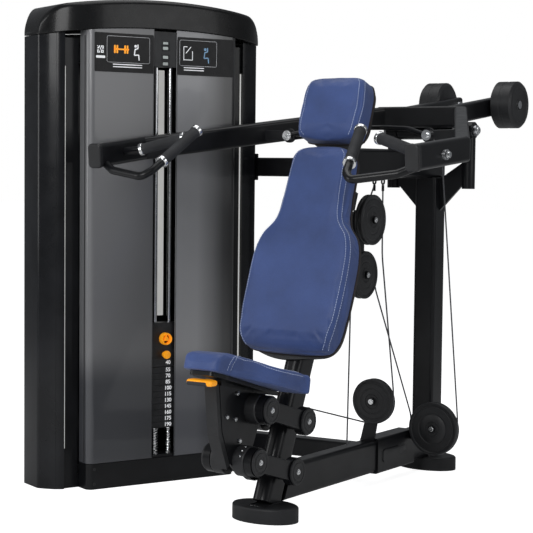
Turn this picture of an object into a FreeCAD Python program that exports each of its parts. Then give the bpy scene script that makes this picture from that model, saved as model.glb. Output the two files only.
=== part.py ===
import FreeCAD, Part
import math
import os

# Shoulder press machine. Millimetres, +Z up, the user faces -Y, +X is the user's left.
# The origin is on the floor at the middle of the front foot; the user's mid-plane is x = 0.

V = FreeCAD.Vector

# ---- driving dimensions ----
POST_LEAN = math.radians(23.7)     # front post, from the vertical
PAD_LEAN = math.radians(20.5)      # back rest, from the vertical
FOOT_HEIGHT = 48
BEAM_WIDTH = 60
BEAM_BOTTOM = 40
BEAM_TOP = 158
BEAM_END_Y = 1016
POST_DEPTH = 100
POST_FOOT_Y = 5
COLUMN_WIDTH = 82
COLUMN_DEPTH = 84
COLUMN_Y = 1058
TOP_BEAM_BOTTOM = 1047
TOP_BEAM_HEIGHT = 98
PIVOT_Y = 1058                     # axis of the press arms
PIVOT_Z = 1216
PIVOT_RADIUS = 14
ARM_WIDTH = 44
ARM_HEIGHT = 74
ARM_TIP = (566, -128, 1110)
ARM_BEND = (586, 130, 1137)
ARM_REAR = (152, 985, 1262)
WEIGHT_CENTRE = (146, 1394, 1318)
WEIGHT_RADIUS = 86
WEIGHT_THICKNESS = 88
RUNNING_GAP = 0.05                 # radial clearance of shafts in their bores
BODY_GAP = 0.5                     # air between pieces of different bodies

# tower: middle of its front plane, and how far its width is turned from the machine's Y axis
TOWER_X = -655
TOWER_Y = 300
TOWER_TURN = 23.5
TOWER_HALF = 415
TOWER_SHOULDER = 1508
TOWER_PEAK = 1634
PILLAR_INNER = 370
PILLAR_DEPTH = 165
COVER_BACK = 255
PANEL_EDGE = 286                   # outer edge of the tinted panels from the tower's middle
SLOT_HALF = 44                     # half of the open slot between the panels
PANEL_FRONT = 58                   # how far the panels stand in front of the pillars
PANEL_THICKNESS = 4
PANEL_TOP = 1520
KICK_HEIGHT = 85

# weight stack
PLATE_COUNT = 10                   # plates under the top plate
PLATE_PITCH = 20.9
PLATE_THICKNESS = 20
PLATE_WIDTH = 440
PLATE_FRONT = -46
PLATE_BACK = 44
STACK_BOTTOM = 186
STACK_X = 12
ROD_SPACING = 56
ROD_RADIUS = 8
ROD_Y = -22
ROD_TOP = 1450
BASE_TOP = 45
STEM_RADIUS = 11

# seat linkage
LINK_LENGTH = 217
LINK_TILT = math.radians(16)
REAR_UPPER = (0, 100, 298)
REAR_LOWER = (0, 40, 150)
LINK_X = 74                        # middle of each link from the mid-plane
LINK_THICKNESS = 24
HUB_RADIUS = 44
AXLE_RADIUS = 12
PLATE_GAP_X = 22                   # outer face of the seat carriage's side plates

# pulleys: centre, radius and the axis they turn on
PULLEY_WIDTH = 26
PULLEY_BORE = 9
CABLE_RADIUS = 2.6

os.makedirs("parts", exist_ok=True)
TOWER_PLACE = FreeCAD.Placement(V(TOWER_X, TOWER_Y, 0), FreeCAD.Rotation(V(0, 0, 1), 90 - TOWER_TURN))
AXIS_X = V(1, 0, 0)
AXIS_Y = V(0, 1, 0)
AXIS_Z = V(0, 0, 1)


# ---- helpers ----
def save(name, *solids):
    """Write one node; several separate solids go in one compound."""
    shape = solids[0] if len(solids) == 1 else Part.Compound(list(solids))
    shape.exportStep("parts/" + name + ".step")


def box(x0, x1, y0, y1, z0, z1):
    return Part.makeBox(x1 - x0, y1 - y0, z1 - z0, V(x0, y0, z0))


def rounded(shape, radius, picks=None):
    edges = [edge for edge in shape.Edges if picks is None or picks(edge)]
    return shape.makeFillet(radius, edges)


def along(axis):
    """Pick the straight edges parallel to an axis."""
    def pick(edge):
        first, last = edge.Vertexes[0].Point, edge.Vertexes[-1].Point
        run = last - first
        return run.Length > 0.1 and abs(run.normalize().dot(axis)) > 0.999
    return pick


def cylinder(centre, axis, radius, length):
    """A cylinder with its middle at centre."""
    unit = V(axis).normalize()
    return Part.makeCylinder(radius, length, centre - unit * (length / 2), unit)


def ring(centre, axis, outer, inner, length):
    return cylinder(centre, axis, outer, length).cut(cylinder(centre, axis, inner, length + 2))


def bar(start, end, width, height, corner, side=V(1, 0, 0)):
    """A straight bar of rounded rectangular section: width runs along side, height across it."""
    run = end - start
    unit = V(run).normalize()
    across = (side - unit * side.dot(unit)).normalize()
    third = unit.cross(across)
    body = Part.makeBox(width, height, run.Length, V(-width / 2, -height / 2, 0))
    body = rounded(body, corner, along(V(0, 0, 1)))
    body.Placement = FreeCAD.Placement(FreeCAD.Matrix(across.x, third.x, unit.x, start.x,
                                                      across.y, third.y, unit.y, start.y,
                                                      across.z, third.z, unit.z, start.z,
                                                      0, 0, 0, 1))
    return body


def swept(points, radius, bends):
    """A round bar swept along straight runs joined by tangent arcs; bends gives each corner's radius."""
    edges = []
    start = points[0]
    if not isinstance(bends, list):
        bends = [bends] * (len(points) - 2)
    for before, corner, after, bend in zip(points, points[1:], points[2:], bends):
        into = (before - corner).normalize()
        out = (after - corner).normalize()
        half = into.getAngle(out) / 2
        cut = bend / math.tan(half)
        first = corner + into * cut
        last = corner + out * cut
        middle = corner + (into + out).normalize() * (bend / math.sin(half) - bend)
        edges.append(Part.makeLine(start, first))
        edges.append(Part.Arc(first, middle, last).toShape())
        start = last
    edges.append(Part.makeLine(start, points[-1]))
    path = Part.Wire(edges)
    circle = Part.Wire(Part.makeCircle(radius, points[0], points[1] - points[0]))
    return path.makePipeShell([circle], True, False)


def outline(points, thickness, place):
    """A flat board from a smooth closed outline of (x, up) points, extruded along the place's -Y."""
    curve = Part.BSplineCurve()
    curve.interpolate([V(x, 0, up) for x, up in points], PeriodicFlag=True)
    board = Part.Face(Part.Wire(curve.toShape())).extrude(V(0, -thickness, 0))
    board.Placement = place
    return board


def prism(points, thickness, origin, normal):
    """Extrude a closed outline of 3-D points along normal."""
    wire = Part.makePolygon([origin + point for point in points + [points[0]]])
    return Part.Face(wire).extrude(V(normal) * thickness)


def mirrored(shape):
    return shape.mirror(V(0, 0, 0), V(1, 0, 0))


def pair(shape):
    return [shape, mirrored(shape)]


def in_tower(shape):
    """Tower parts are drawn with x across the front, -y out of the front; move them into place."""
    moved = shape.copy()
    moved.Placement = TOWER_PLACE.multiply(moved.Placement)
    return moved


# ---- frame ----
def post_point(z):
    """A point of the front post's centre line at height z."""
    return V(0, POST_FOOT_Y + (z - FOOT_HEIGHT) * math.tan(POST_LEAN), z)


def foot(y, half_x, half_y):
    """An oval rubber foot with a rounded upper rim."""
    ellipse = Part.Ellipse(V(0, y, 0), half_x, half_y).toShape()
    pad = Part.Face(Part.Wire(ellipse)).extrude(V(0, 0, FOOT_HEIGHT))
    return rounded(pad, 8, lambda edge: edge.BoundBox.ZMin > FOOT_HEIGHT - 1)


def link_axles():
    """The four link pivots of the seat, and their bores."""
    rear = [V(*REAR_UPPER), V(*REAR_LOWER)]
    reach = V(0, -LINK_LENGTH * math.cos(LINK_TILT), LINK_LENGTH * math.sin(LINK_TILT))
    return rear, [point + reach for point in rear]


REAR_PIVOTS, FRONT_PIVOTS = link_axles()

save("front_foot", foot(0, 112, 75))
save("rear_foot", foot(COLUMN_Y + 10, 110, 70))

post = bar(post_point(FOOT_HEIGHT), post_point(TOP_BEAM_BOTTOM + 40), BEAM_WIDTH, POST_DEPTH, 24)
post = post.common(box(-50, 50, -100, 700, FOOT_HEIGHT, TOP_BEAM_BOTTOM))
for pivot in REAR_PIVOTS:
    post = post.fuse(cylinder(pivot, AXIS_X, 30, 2 * (LINK_X - LINK_THICKNESS / 2 - BODY_GAP)))
    post = post.cut(cylinder(pivot, AXIS_X, AXLE_RADIUS, 200))
save("front_post", post)

beam = rounded(box(-BEAM_WIDTH / 2, BEAM_WIDTH / 2, 0, BEAM_END_Y, BEAM_BOTTOM + 8, BEAM_TOP), 14, along(AXIS_Y))
save("base_beam", beam.cut(bar(post_point(0), post_point(400), BEAM_WIDTH + 1, POST_DEPTH, 2)).Solids[-1])
sleeve = rounded(box(-36, 36, 640, 900, BEAM_BOTTOM + 3, BEAM_TOP + 6), 10, along(AXIS_Y))
sleeve = sleeve.cut(rounded(box(-30, 30, 600, 950, BEAM_BOTTOM + 8, BEAM_TOP), 14, along(AXIS_Y)))
for side in (1, -1):
    raised = box(min(side * 36, side * 39), max(side * 36, side * 39), 672, 790, 78, 122)
    sleeve = sleeve.fuse(rounded(raised, 12, along(AXIS_X)))
save("beam_sleeve", sleeve)

column = box(-COLUMN_WIDTH / 2, COLUMN_WIDTH / 2, COLUMN_Y - COLUMN_DEPTH / 2, COLUMN_Y + COLUMN_DEPTH / 2,
             FOOT_HEIGHT, TOP_BEAM_BOTTOM)
save("rear_column", rounded(column, 12, along(AXIS_Z)))
top_beam = rounded(box(-30, 30, 420, COLUMN_Y + 52, TOP_BEAM_BOTTOM, TOP_BEAM_BOTTOM + TOP_BEAM_HEIGHT), 14, along(AXIS_Y))
save("top_beam", top_beam)

# crossbeams from the frame to the tower's right-hand side
CROSS_Y = 712
side_block = in_tower(box(-TOWER_HALF, TOWER_HALF, 0, PILLAR_DEPTH + 90, -10, 1600))
cross = rounded(box(-660, -30, CROSS_Y - 30, CROSS_Y + 30, TOP_BEAM_BOTTOM, TOP_BEAM_BOTTOM + 66), 10, along(AXIS_X))
cross = cross.cut(side_block)
flange = in_tower(rounded(box(TOWER_HALF, TOWER_HALF + 8, 12, 98, TOP_BEAM_BOTTOM - 14, TOP_BEAM_BOTTOM + 80), 3))
save("tower_crossbeam", cross.fuse(flange))
floor_tube = bar(V(-20, 722, 95), V(-620, 690, 95), 62, 66, 10, AXIS_Y)
floor_tube = floor_tube.cut(side_block).cut(box(-BEAM_WIDTH / 2 - 6, 300, 600, 900, 0, 300))
gusset = prism([V(-40, 640, 0), V(-40, 700, 0), V(-150, 696, 0)], 8, V(0, 0, 100), AXIS_Z)
save("floor_cross_tube", floor_tube.fuse(gusset).cut(sleeve))

# posts that carry the arm pivot, with their gussets to the column
POST_X = 150
pivot_post = cylinder(V(POST_X, PIVOT_Y, 1105), AXIS_Z, 23, 190)
pivot_post = pivot_post.fuse(cylinder(V(POST_X, PIVOT_Y, PIVOT_Z), AXIS_X, 30, 40))
pivot_post = pivot_post.cut(cylinder(V(POST_X, PIVOT_Y, PIVOT_Z), AXIS_X, PIVOT_RADIUS, 60))
gusset_points = [V(40, 0, 930), V(40, 0, 1044), V(POST_X - 10, 0, 1110), V(POST_X - 10, 0, 1035)]
pivot_post = pivot_post.fuse(prism(gusset_points, 12, V(0, PIVOT_Y - 6, 0), AXIS_Y))
pivot_post = pivot_post.cut(box(-41, 41, 900, 1200, 800, 1047))
shaft = cylinder(V(0, PIVOT_Y, PIVOT_Z), AXIS_X, PIVOT_RADIUS, 2 * POST_X + 44)
shaft = shaft.fuse(pair(cylinder(V(POST_X + 26, PIVOT_Y, PIVOT_Z), AXIS_X, 19, 10)))
save("pivot_posts", *pair(pivot_post.cut(shaft)))
save("pivot_shaft", shaft)


# ---- press arms ----
TAIL_X = 81
HUB_TUBE_RADIUS = 32
GRIP_RADIUS = 17
HANDLE_RADIUS = 12.5
RING_RADIUS = 20
LOWER_RING = V(336, -91, 1093)
UPPER_RING = V(296, 42, 1195)
INNER_GRIP_START = V(494, 0, 1130)
INNER_GRIP_END = V(350, 50, 1170)
TIE_END = V(265, 519, 1187)
ROD_REAR = V(196, 866, 1206)

tip, bend, rear = V(*ARM_TIP), V(*ARM_BEND), V(*ARM_REAR)
weight = V(*WEIGHT_CENTRE)
cross_tube = bar(V(-168, rear.y, rear.z), V(168, rear.y, rear.z), ARM_WIDTH, ARM_HEIGHT, 10, AXIS_Y)
tail_end = V(TAIL_X, weight.y + 34, weight.z)
tail = bar(V(TAIL_X, rear.y, rear.z), tail_end, 40, 66, 10)
hub = cylinder(V(0, PIVOT_Y, PIVOT_Z), AXIS_X, HUB_TUBE_RADIUS, 2 * (POST_X - 23 - 3))
yoke = cross_tube.fuse([tail, mirrored(tail), hub])
yoke = yoke.cut(cylinder(V(0, PIVOT_Y, PIVOT_Z), AXIS_X, PIVOT_RADIUS + RUNNING_GAP, 400))
save("arm_yoke", yoke)

front_run = bar(tip, bend, ARM_WIDTH, ARM_HEIGHT, 12)
long_run = bar(bend, rear, ARM_WIDTH, ARM_HEIGHT, 12)
knee = rounded(cylinder(bend, AXIS_Z, ARM_WIDTH / 2, ARM_HEIGHT - 1), 11, lambda edge: True)
arm = front_run.fuse([long_run, knee]).cut(cross_tube)
arm = sorted(arm.Solids, key=lambda solid: solid.Volume)[-1]
save("arm_left", arm)
save("arm_right", mirrored(arm))

tip_run = (tip - bend).normalize()
cap = rounded(bar(tip, tip + tip_run * 16, ARM_WIDTH + 4, ARM_HEIGHT + 4, 14), 6,
              lambda edge: (edge.CenterOfMass - tip).dot(tip_run) > 15)
save("arm_end_caps", *pair(cap))


def fitted(start, end, radius, trim):
    """A round bar between two points, shortened by trim at both ends."""
    unit = (end - start).normalize()
    return Part.makeCylinder(radius, (end - start).Length - 2 * trim, start + unit * trim, unit)


grip_run = (UPPER_RING - LOWER_RING).normalize()
handle_route = [tip + V(-8, 34, -24), V(508, -120, 1064), V(372, -150, 1046), LOWER_RING - grip_run * 46,
                UPPER_RING + grip_run * 2]
handle = swept(handle_route, HANDLE_RADIUS, 26).cut(arm)
handle = sorted(handle.Solids, key=lambda solid: solid.Volume)[-1]
inner_run = (INNER_GRIP_END - INNER_GRIP_START).normalize()
stub_start = V(580, 0, 1124)
stub = fitted(stub_start, INNER_GRIP_START + inner_run * 2, HANDLE_RADIUS, 0)
stub = stub.fuse(fitted(INNER_GRIP_START, INNER_GRIP_END + inner_run * 3, HANDLE_RADIUS, 0))
stub = stub.fuse(Part.makeSphere(HANDLE_RADIUS, INNER_GRIP_START)).cut(arm)
stub = sorted(stub.Solids, key=lambda solid: solid.Volume)[-1]
save("handle_tubes", *(pair(handle) + pair(stub)))


def grip_on(start, end):
    """A rubber sleeve between two chrome rings on a handle tube."""
    unit = (end - start).normalize()
    length = (end - start).Length
    sleeve_body = Part.makeCylinder(GRIP_RADIUS, length, start, unit)
    sleeve_body = sleeve_body.cut(Part.makeCylinder(HANDLE_RADIUS, length + 40, start - unit * 20, unit))
    rings = []
    for base in (start - unit * 12, end):
        band = Part.makeCylinder(RING_RADIUS, 12, base, unit)
        band = rounded(band, 2.5, lambda edge: True)
        rings.append(band.cut(Part.makeCylinder(HANDLE_RADIUS, 40, base - unit * 10, unit)))
    return sleeve_body, rings


outer_grip, outer_rings = grip_on(LOWER_RING + grip_run * 8, UPPER_RING - grip_run * 12)
inner_grip, inner_rings = grip_on(INNER_GRIP_START + inner_run * 12, INNER_GRIP_END - inner_run * 14)
save("hand_grips", *(pair(outer_grip) + pair(inner_grip)))
bands = [band.cut(handle).cut(stub) for band in outer_rings + inner_rings]
save("grip_rings", *[piece for band in bands for piece in pair(band)])

disc = cylinder(weight, AXIS_X, WEIGHT_RADIUS, WEIGHT_THICKNESS)
disc = disc.makeChamfer(9, [edge for edge in disc.Edges if edge.Curve.TypeId == "Part::GeomCircle"])
disc = disc.cut(cylinder(weight + V(WEIGHT_THICKNESS / 2, 0, 0), AXIS_X, 16, 16))
save("counterweights", *pair(disc))
bolt = cylinder(weight + V(WEIGHT_THICKNESS / 2 - 4, 0, 0), AXIS_X, 15, 8)
inner_bolt = cylinder(V(TAIL_X - 24, weight.y, weight.z), AXIS_X, 15, 8)

# a curved tie bar between the arms, with ball rings, and a chrome rod from each ring to the arm
ring_ball = ring(TIE_END, AXIS_Y, 17, 8, 14)
ball_pin = cylinder(TIE_END, AXIS_Y, 7.9, 30)
bracket = bar(TIE_END + V(22, 12, 0), V(394, 531, 1190), 10, 34, 3, AXIS_Y).cut(arm)
bracket = sorted(bracket.Solids, key=lambda solid: solid.Volume)[-1]
bracket = bracket.fuse(ring(TIE_END + V(0, 12, 0), AXIS_Y, 24, 7.9, 9))
tie_route = [TIE_END + V(-16, 2, 4), V(170, 566, 1210), V(60, 588, 1214), V(-60, 588, 1214), V(-170, 566, 1210),
             V(-TIE_END.x + 16, TIE_END.y + 2, TIE_END.z + 4)]
tie_bar = swept(tie_route, 8, 70)
ring_ball = ring_ball.cut(tie_bar)
save("tie_bar", tie_bar.cut(ball_pin).cut(mirrored(ball_pin)))

clevis = cylinder(ROD_REAR + V(0, 8, 0), AXIS_X, 15, 30).cut(arm)
clevis = sorted(clevis.Solids, key=lambda solid: solid.Volume)[-1]
bracket = bracket.cut(tie_bar).cut(ball_pin)
bracket = sorted(bracket.Solids, key=lambda solid: solid.Volume)[-1]
rod_start = TIE_END + V(-4, 18, 1)
rod = fitted(rod_start, ROD_REAR, 5.5, 0)
for neighbour in (arm, clevis, bracket, ball_pin, ring_ball):
    rod = rod.cut(neighbour)
rod = sorted(rod.Solids, key=lambda solid: solid.Volume)[-1]
save("tie_rods", *(pair(rod) + pair(ring_ball) + pair(ball_pin)))
save("tie_brackets", *(pair(bracket) + pair(clevis)))
side_bolt_centre = V(597, -8, 1120)
side_bolt = cylinder(side_bolt_centre + V(4, 0, 0), AXIS_X, 15, 12)
save("arm_bolts", *(pair(bolt) + pair(inner_bolt) + pair(side_bolt.cut(arm))))


# ---- seat on its parallelogram linkage ----
def link(rear_point, front_point, front_bore):
    """One near-side link: two hubs joined by a web, with the bores of its pins."""
    centre_shift = V(LINK_X, 0, 0)
    first = cylinder(rear_point + centre_shift, AXIS_X, HUB_RADIUS, LINK_THICKNESS)
    second = cylinder(front_point + centre_shift, AXIS_X, HUB_RADIUS, LINK_THICKNESS)
    run = (rear_point - front_point).normalize()
    web = bar(front_point + centre_shift + run * 20, rear_point + centre_shift - run * 20,
              LINK_THICKNESS, 58, 3)
    body = first.fuse([second, web])
    body = body.cut(cylinder(rear_point + centre_shift, AXIS_X, AXLE_RADIUS + RUNNING_GAP, 60))
    return body.cut(cylinder(front_point + centre_shift, AXIS_X, front_bore, 60))


LOOSE_BORE = AXLE_RADIUS + 0.6     # the linkage's open pivot, with clearance
upper_rear, lower_rear = REAR_PIVOTS
upper_front, lower_front = FRONT_PIVOTS
save("upper_links", *pair(link(upper_rear, upper_front, AXLE_RADIUS + RUNNING_GAP)))
save("lower_links", *pair(link(lower_rear, lower_front, LOOSE_BORE)))
LINK_OUTER = LINK_X + LINK_THICKNESS / 2


def hub_cover(point):
    """A round cover with a raised middle, on a link's outer face."""
    face = point + V(LINK_OUTER + BODY_GAP + 3.5, 0, 0)
    cover = cylinder(face, AXIS_X, HUB_RADIUS - 3, 7)
    cover = rounded(cover, 2, lambda edge: edge.BoundBox.XMin > LINK_OUTER + 6)
    return cover.fuse(cylinder(face + V(4, 0, 0), AXIS_X, 8, 3))


AXLE_LENGTH = 2 * (LINK_OUTER + 0.4)
save("rear_axles", *[cylinder(point, AXIS_X, AXLE_RADIUS, AXLE_LENGTH) for point in REAR_PIVOTS])
front_axles = [cylinder(point, AXIS_X, AXLE_RADIUS, AXLE_LENGTH) for point in FRONT_PIVOTS]
save("rear_hub_covers", *[piece for point in REAR_PIVOTS for piece in pair(hub_cover(point))])
save("front_hub_covers", *[piece for point in FRONT_PIVOTS for piece in pair(hub_cover(point))])

# the carriage's wide barrels
BARREL_RADIUS = 46
barrels = []
for point in FRONT_PIVOTS:
    barrel = cylinder(point + V(41.25, 0, 0), AXIS_X, BARREL_RADIUS, 38.5)
    barrel = rounded(barrel, 5, lambda edge: edge.BoundBox.XMin > 60)
    barrels += pair(barrel.cut(cylinder(point, AXIS_X, AXLE_RADIUS, 200)))
save("carriage_barrels", *barrels)

plate_outline = [V(0, -281, 446), V(0, -88, 404), V(0, -66, 362), V(0, -76, 300), V(0, -120, 214),
                 V(0, -150, 178), V(0, -190, 176), V(0, -223, 206), V(0, -265, 306)]
side_plate = prism(plate_outline, 7, V(PLATE_GAP_X - 7, 0, 0), AXIS_X)
for point in FRONT_PIVOTS:
    side_plate = side_plate.cut(cylinder(point, AXIS_X, AXLE_RADIUS, 200))
save("seat_side_plates", *pair(side_plate))
strap_outline = [V(0, -299, 450), V(0, -281.5, 448), V(0, -265.5, 306), V(0, -223.5, 204), V(0, -238, 192),
                 V(0, -281, 296)]
STRAP_HALF = 20
save("seat_strap", prism(strap_outline, 2 * STRAP_HALF, V(-STRAP_HALF, 0, 0), AXIS_X))
plate_bolts = [cylinder(V(PLATE_GAP_X + 2, y, z), AXIS_X, 6, 4)
               for y, z in ((-192, 412), (-246, 349), (-201, 337), (-179, 269))]
save("carriage_pins", *(front_axles + [piece for bolt_head in plate_bolts for piece in pair(bolt_head)]))

SEAT_TILT = 16
SEAT_REAR = V(0, 12, 466)
SEAT_PLACE = FreeCAD.Placement(SEAT_REAR, FreeCAD.Rotation(AXIS_X, -SEAT_TILT))
SEAT_LENGTH = 366
SEAT_THICKNESS = 72
PAN_HALF = 58                      # the pan passes between the links


def seat_slab(inset, low, high, corner):
    """A board tapering to the front, in the seat's own tilted frame: rear edge at y = 0."""
    rear_half, front_half = 160 - inset, 56 - inset
    points = [V(-rear_half, -inset, low), V(rear_half, -inset, low), V(rear_half - 4, -130, low),
              V(front_half + 16, -300, low), V(front_half, -SEAT_LENGTH + inset, low),
              V(-front_half, -SEAT_LENGTH + inset, low), V(-front_half - 16, -300, low),
              V(-rear_half + 4, -130, low)]
    face = Part.Face(Part.makePolygon(points + [points[0]]))
    slab = face.extrude(V(0, 0, high - low))
    slab = rounded(slab, corner, along(AXIS_Z))
    slab.Placement = SEAT_PLACE
    return slab


seat = seat_slab(0, -SEAT_THICKNESS, 0, 18)
save("seat_pad", seat)
pan = seat_slab(16, -SEAT_THICKNESS - 12, -SEAT_THICKNESS, 14)
mount = box(-PLATE_GAP_X + 7, PLATE_GAP_X - 7, -262, -92, 385, 520)
below_pan = seat_slab(-40, -SEAT_THICKNESS - 120, -SEAT_THICKNESS - 12, 3)
between_links = box(-PAN_HALF, PAN_HALF, -400, 20, 300, 600)
pan = pan.common(between_links).fuse(mount.common(below_pan))
for neighbour in pair(side_plate) + barrels:
    pan = pan.cut(neighbour)
save("seat_pan", sorted(pan.Solids, key=lambda solid: solid.Volume)[-1])

# adjustment lever under the front of the seat, and the lock cylinder it releases
lever = rounded(box(-14, 14, -338, -298, 452, 466), 5)
lever_blade = rounded(box(-46, 46, -358, -322, 450, 468), 8)
lever_body = lever_blade.fuse(lever).fuse(cylinder(V(0, -306, 459), AXIS_X, 5.5, 44))
save("seat_lever", lever_body)
save("lock_cylinder", cylinder(V(0, -183, 300), V(0, 0.5, 1), 11, 150))


# ---- back rest ----
PAD_FACE = V(0, 53, 489)           # the back pad's front face at its lower edge
PAD_PLACE = FreeCAD.Placement(PAD_FACE, FreeCAD.Rotation(AXIS_X, -math.degrees(PAD_LEAN)))
PAD_THICKNESS = 74
BOARD_THICKNESS = 14
HEAD_STEP = 12                     # how much thicker the headrest is at the back
BACK_HALF = [(118, 32), (172, 64), (186, 134), (190, 230), (188, 345), (170, 414), (132, 466), (122, 534),
             (118, 614), (108, 684), (60, 716)]
HEAD_LOW, HEAD_HIGH = 738, 954
HEAD_HALF = [(84, HEAD_LOW), (114, HEAD_LOW + 26), (119, HEAD_LOW + 110), (112, HEAD_HIGH - 34),
             (72, HEAD_HIGH)]


def pad_solid(half, inset, near, far):
    """A pad or board of mirror-image outline, from depth near to depth far behind the front face."""
    right = [(x - inset, up) for x, up in half]
    left = [(-x, up) for x, up in reversed(right)]
    board = outline(right + left, far - near, FreeCAD.Placement())
    board.translate(V(0, far, 0))
    board.Placement = PAD_PLACE.multiply(board.Placement)
    return board


back_pad = pad_solid(BACK_HALF, 0, 0, PAD_THICKNESS)
save("back_pad", back_pad)
back_board = pad_solid(BACK_HALF, 10, PAD_THICKNESS, PAD_THICKNESS + BOARD_THICKNESS).cut(post)
head_pad = pad_solid(HEAD_HALF, 0, -6, PAD_THICKNESS + HEAD_STEP)
head_board = pad_solid(HEAD_HALF, 10, PAD_THICKNESS + HEAD_STEP, PAD_THICKNESS + HEAD_STEP + BOARD_THICKNESS)
head_board = head_board.cut(back_board).cut(back_pad)
save("headrest_pad", head_pad.cut(back_board).cut(back_pad))
save("pad_boards", back_board, head_board)
board_back = PAD_THICKNESS + BOARD_THICKNESS
spine = rounded(Part.makeBox(50, 22, 560, V(-25, board_back + 12, 372)), 4, along(AXIS_Z))
spine.Placement = PAD_PLACE
low_block = Part.makeBox(90, 120, 70, V(-45, board_back, 60))
low_block.Placement = PAD_PLACE
high_block = Part.makeBox(90, 120, 60, V(-45, board_back, 560))
high_block.Placement = PAD_PLACE
spine = sorted(spine.cut(post).cut(head_board).cut(top_beam).Solids, key=lambda solid: solid.Volume)[-1]
brackets = [spine]
for block in (low_block, high_block):
    piece = block.cut(post).cut(spine).cut(top_beam).cut(back_board)
    brackets.append(sorted(piece.Solids, key=lambda solid: solid.BoundBox.YMin)[0])
save("pad_brackets", *brackets)

# ---- pulleys ----
def pulley(centre, axis, radius):
    """A grooved wheel with a recessed face, its bore a running fit on its axle."""
    wheel = cylinder(centre, axis, radius, PULLEY_WIDTH)
    unit = V(axis).normalize()
    groove = Part.makeTorus(radius + 4, 9, centre, unit)
    wheel = wheel.cut(groove)
    for side in (1, -1):
        recess = ring(centre + unit * (side * (PULLEY_WIDTH / 2)), axis, radius - 15, 30, 8)
        wheel = wheel.cut(recess)
    return wheel.cut(cylinder(centre, axis, PULLEY_BORE + RUNNING_GAP, 100))


PULLEYS = {
    "upper_pulley": (V(30, 575, 908), AXIS_X, 84),
    "lower_pulley": (V(-6, 592, 722), AXIS_X, 80),
    "bracket_pulley": (V(30, 615, 296), AXIS_Y, 76),
    "floor_pulley": (V(131, 862, 180), AXIS_Y, 92),
}
axles = []
for name, (centre, axis, radius) in PULLEYS.items():
    save(name, pulley(centre, axis, radius))
    axles.append((centre, axis))

# ---- pulley brackets with their axles ----
upper_c, lower_c, bracket_c, floor_c = [PULLEYS[name][0] for name in PULLEYS]
HANGER_GAP = PULLEY_WIDTH / 2 + BODY_GAP
brackets = []
hanger_x = lower_c.x - HANGER_GAP - 6
hanger = rounded(box(hanger_x, hanger_x + 6, 545, 622, 690, 940), 25, along(AXIS_X))
shank = box(hanger_x - 10, hanger_x, 400, 600, 800, 850).cut(post)
shank = sorted(shank.Solids, key=lambda solid: solid.BoundBox.YMax)[-1]
brackets += [hanger, shank]
slant = [V(bracket_c.x - 24, 0, 300), V(bracket_c.x + 22, 0, 318), V(24, 0, BEAM_TOP), V(-28, 0, BEAM_TOP)]
slant_plate = prism(slant, 8, V(0, bracket_c.y + HANGER_GAP, 0), AXIS_Y)
brackets.append(slant_plate)
side_arm = rounded(box(30, floor_c.x + 26, floor_c.y + HANGER_GAP, floor_c.y + HANGER_GAP + 9, 132, 206), 6,
                   along(AXIS_Y))
brackets.append(side_arm.cut(sleeve))
for centre, axis in axles:
    back_reach = centre.x - hanger_x if axis.x > 0.5 else -(HANGER_GAP + 9)
    front = centre + axis * (HANGER_GAP + 5 if axis.x > 0.5 else -HANGER_GAP - 5)
    brackets.append(Part.makeCylinder(PULLEY_BORE, (front - centre).Length + abs(back_reach), front,
                                      (centre - front).normalize()))
    brackets.append(cylinder(front, axis, 13, 6))
joined = brackets[0].fuse(brackets[1:])

# ---- drive cables, each held over its pulleys ----
GROOVE_DEPTH = 1.5
WRAP_SLACK = 0.5                   # lets the two quarter arcs of a half wrap meet on a short line
YOKE_LUG = V(92, 952, 1200)
BEAM_ANCHOR = V(30, 656, TOP_BEAM_BOTTOM)
TOWER_ENTRY = V(-526, 698, 262)
r_floor = PULLEYS["floor_pulley"][2] - GROOVE_DEPTH
r_low = PULLEYS["lower_pulley"][2] - GROOVE_DEPTH
r_bracket = PULLEYS["bracket_pulley"][2] - GROOVE_DEPTH
r_upper = PULLEYS["upper_pulley"][2] - GROOVE_DEPTH
arm_cable = swept([YOKE_LUG, V(floor_c.x + r_floor, floor_c.y, floor_c.z + 40),
                   V(floor_c.x + r_floor, floor_c.y, floor_c.z - r_floor),
                   V(floor_c.x - r_floor, floor_c.y, floor_c.z - r_floor),
                   V(floor_c.x - r_floor, floor_c.y, floor_c.z + 40),
                   V(lower_c.x, lower_c.y + r_low, lower_c.z - 40),
                   V(lower_c.x, lower_c.y + r_low, lower_c.z + r_low),
                   V(lower_c.x, lower_c.y - r_low, lower_c.z + r_low),
                   V(lower_c.x, lower_c.y - r_low, lower_c.z - 60),
                   V(12, 470, BEAM_TOP + 6)], CABLE_RADIUS,
                  [90, r_floor - WRAP_SLACK, r_floor - WRAP_SLACK, 90, 150,
                   r_low - WRAP_SLACK, r_low - WRAP_SLACK, 150])
stack_cable = swept([BEAM_ANCHOR - V(0, 0, 24), V(upper_c.x, upper_c.y + r_upper, upper_c.z - 120),
                     V(bracket_c.x + r_bracket, bracket_c.y, bracket_c.z + 40),
                     V(bracket_c.x + r_bracket, bracket_c.y, bracket_c.z - r_bracket),
                     V(bracket_c.x - 40, bracket_c.y, bracket_c.z - r_bracket),
                     TOWER_ENTRY], CABLE_RADIUS, [250, 80, r_bracket - WRAP_SLACK, 60])
hanger_cable = fitted(V(6, 640, TOP_BEAM_BOTTOM - 24), V(-10, 612, 938), CABLE_RADIUS, 0)
save("drive_cables", arm_cable, stack_cable, hanger_cable)
thimbles = []
for anchor in (BEAM_ANCHOR, V(6, 640, TOP_BEAM_BOTTOM)):
    loop = Part.makeTorus(9, 3, anchor - V(0, 0, 12), AXIS_X)
    ferrule = cylinder(anchor - V(0, 0, 34), AXIS_Z, 4.6, 20)
    thimbles.append(loop.fuse(ferrule))
thimbles = [piece.cut(stack_cable).cut(hanger_cable).cut(top_beam) for piece in thimbles]
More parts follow.
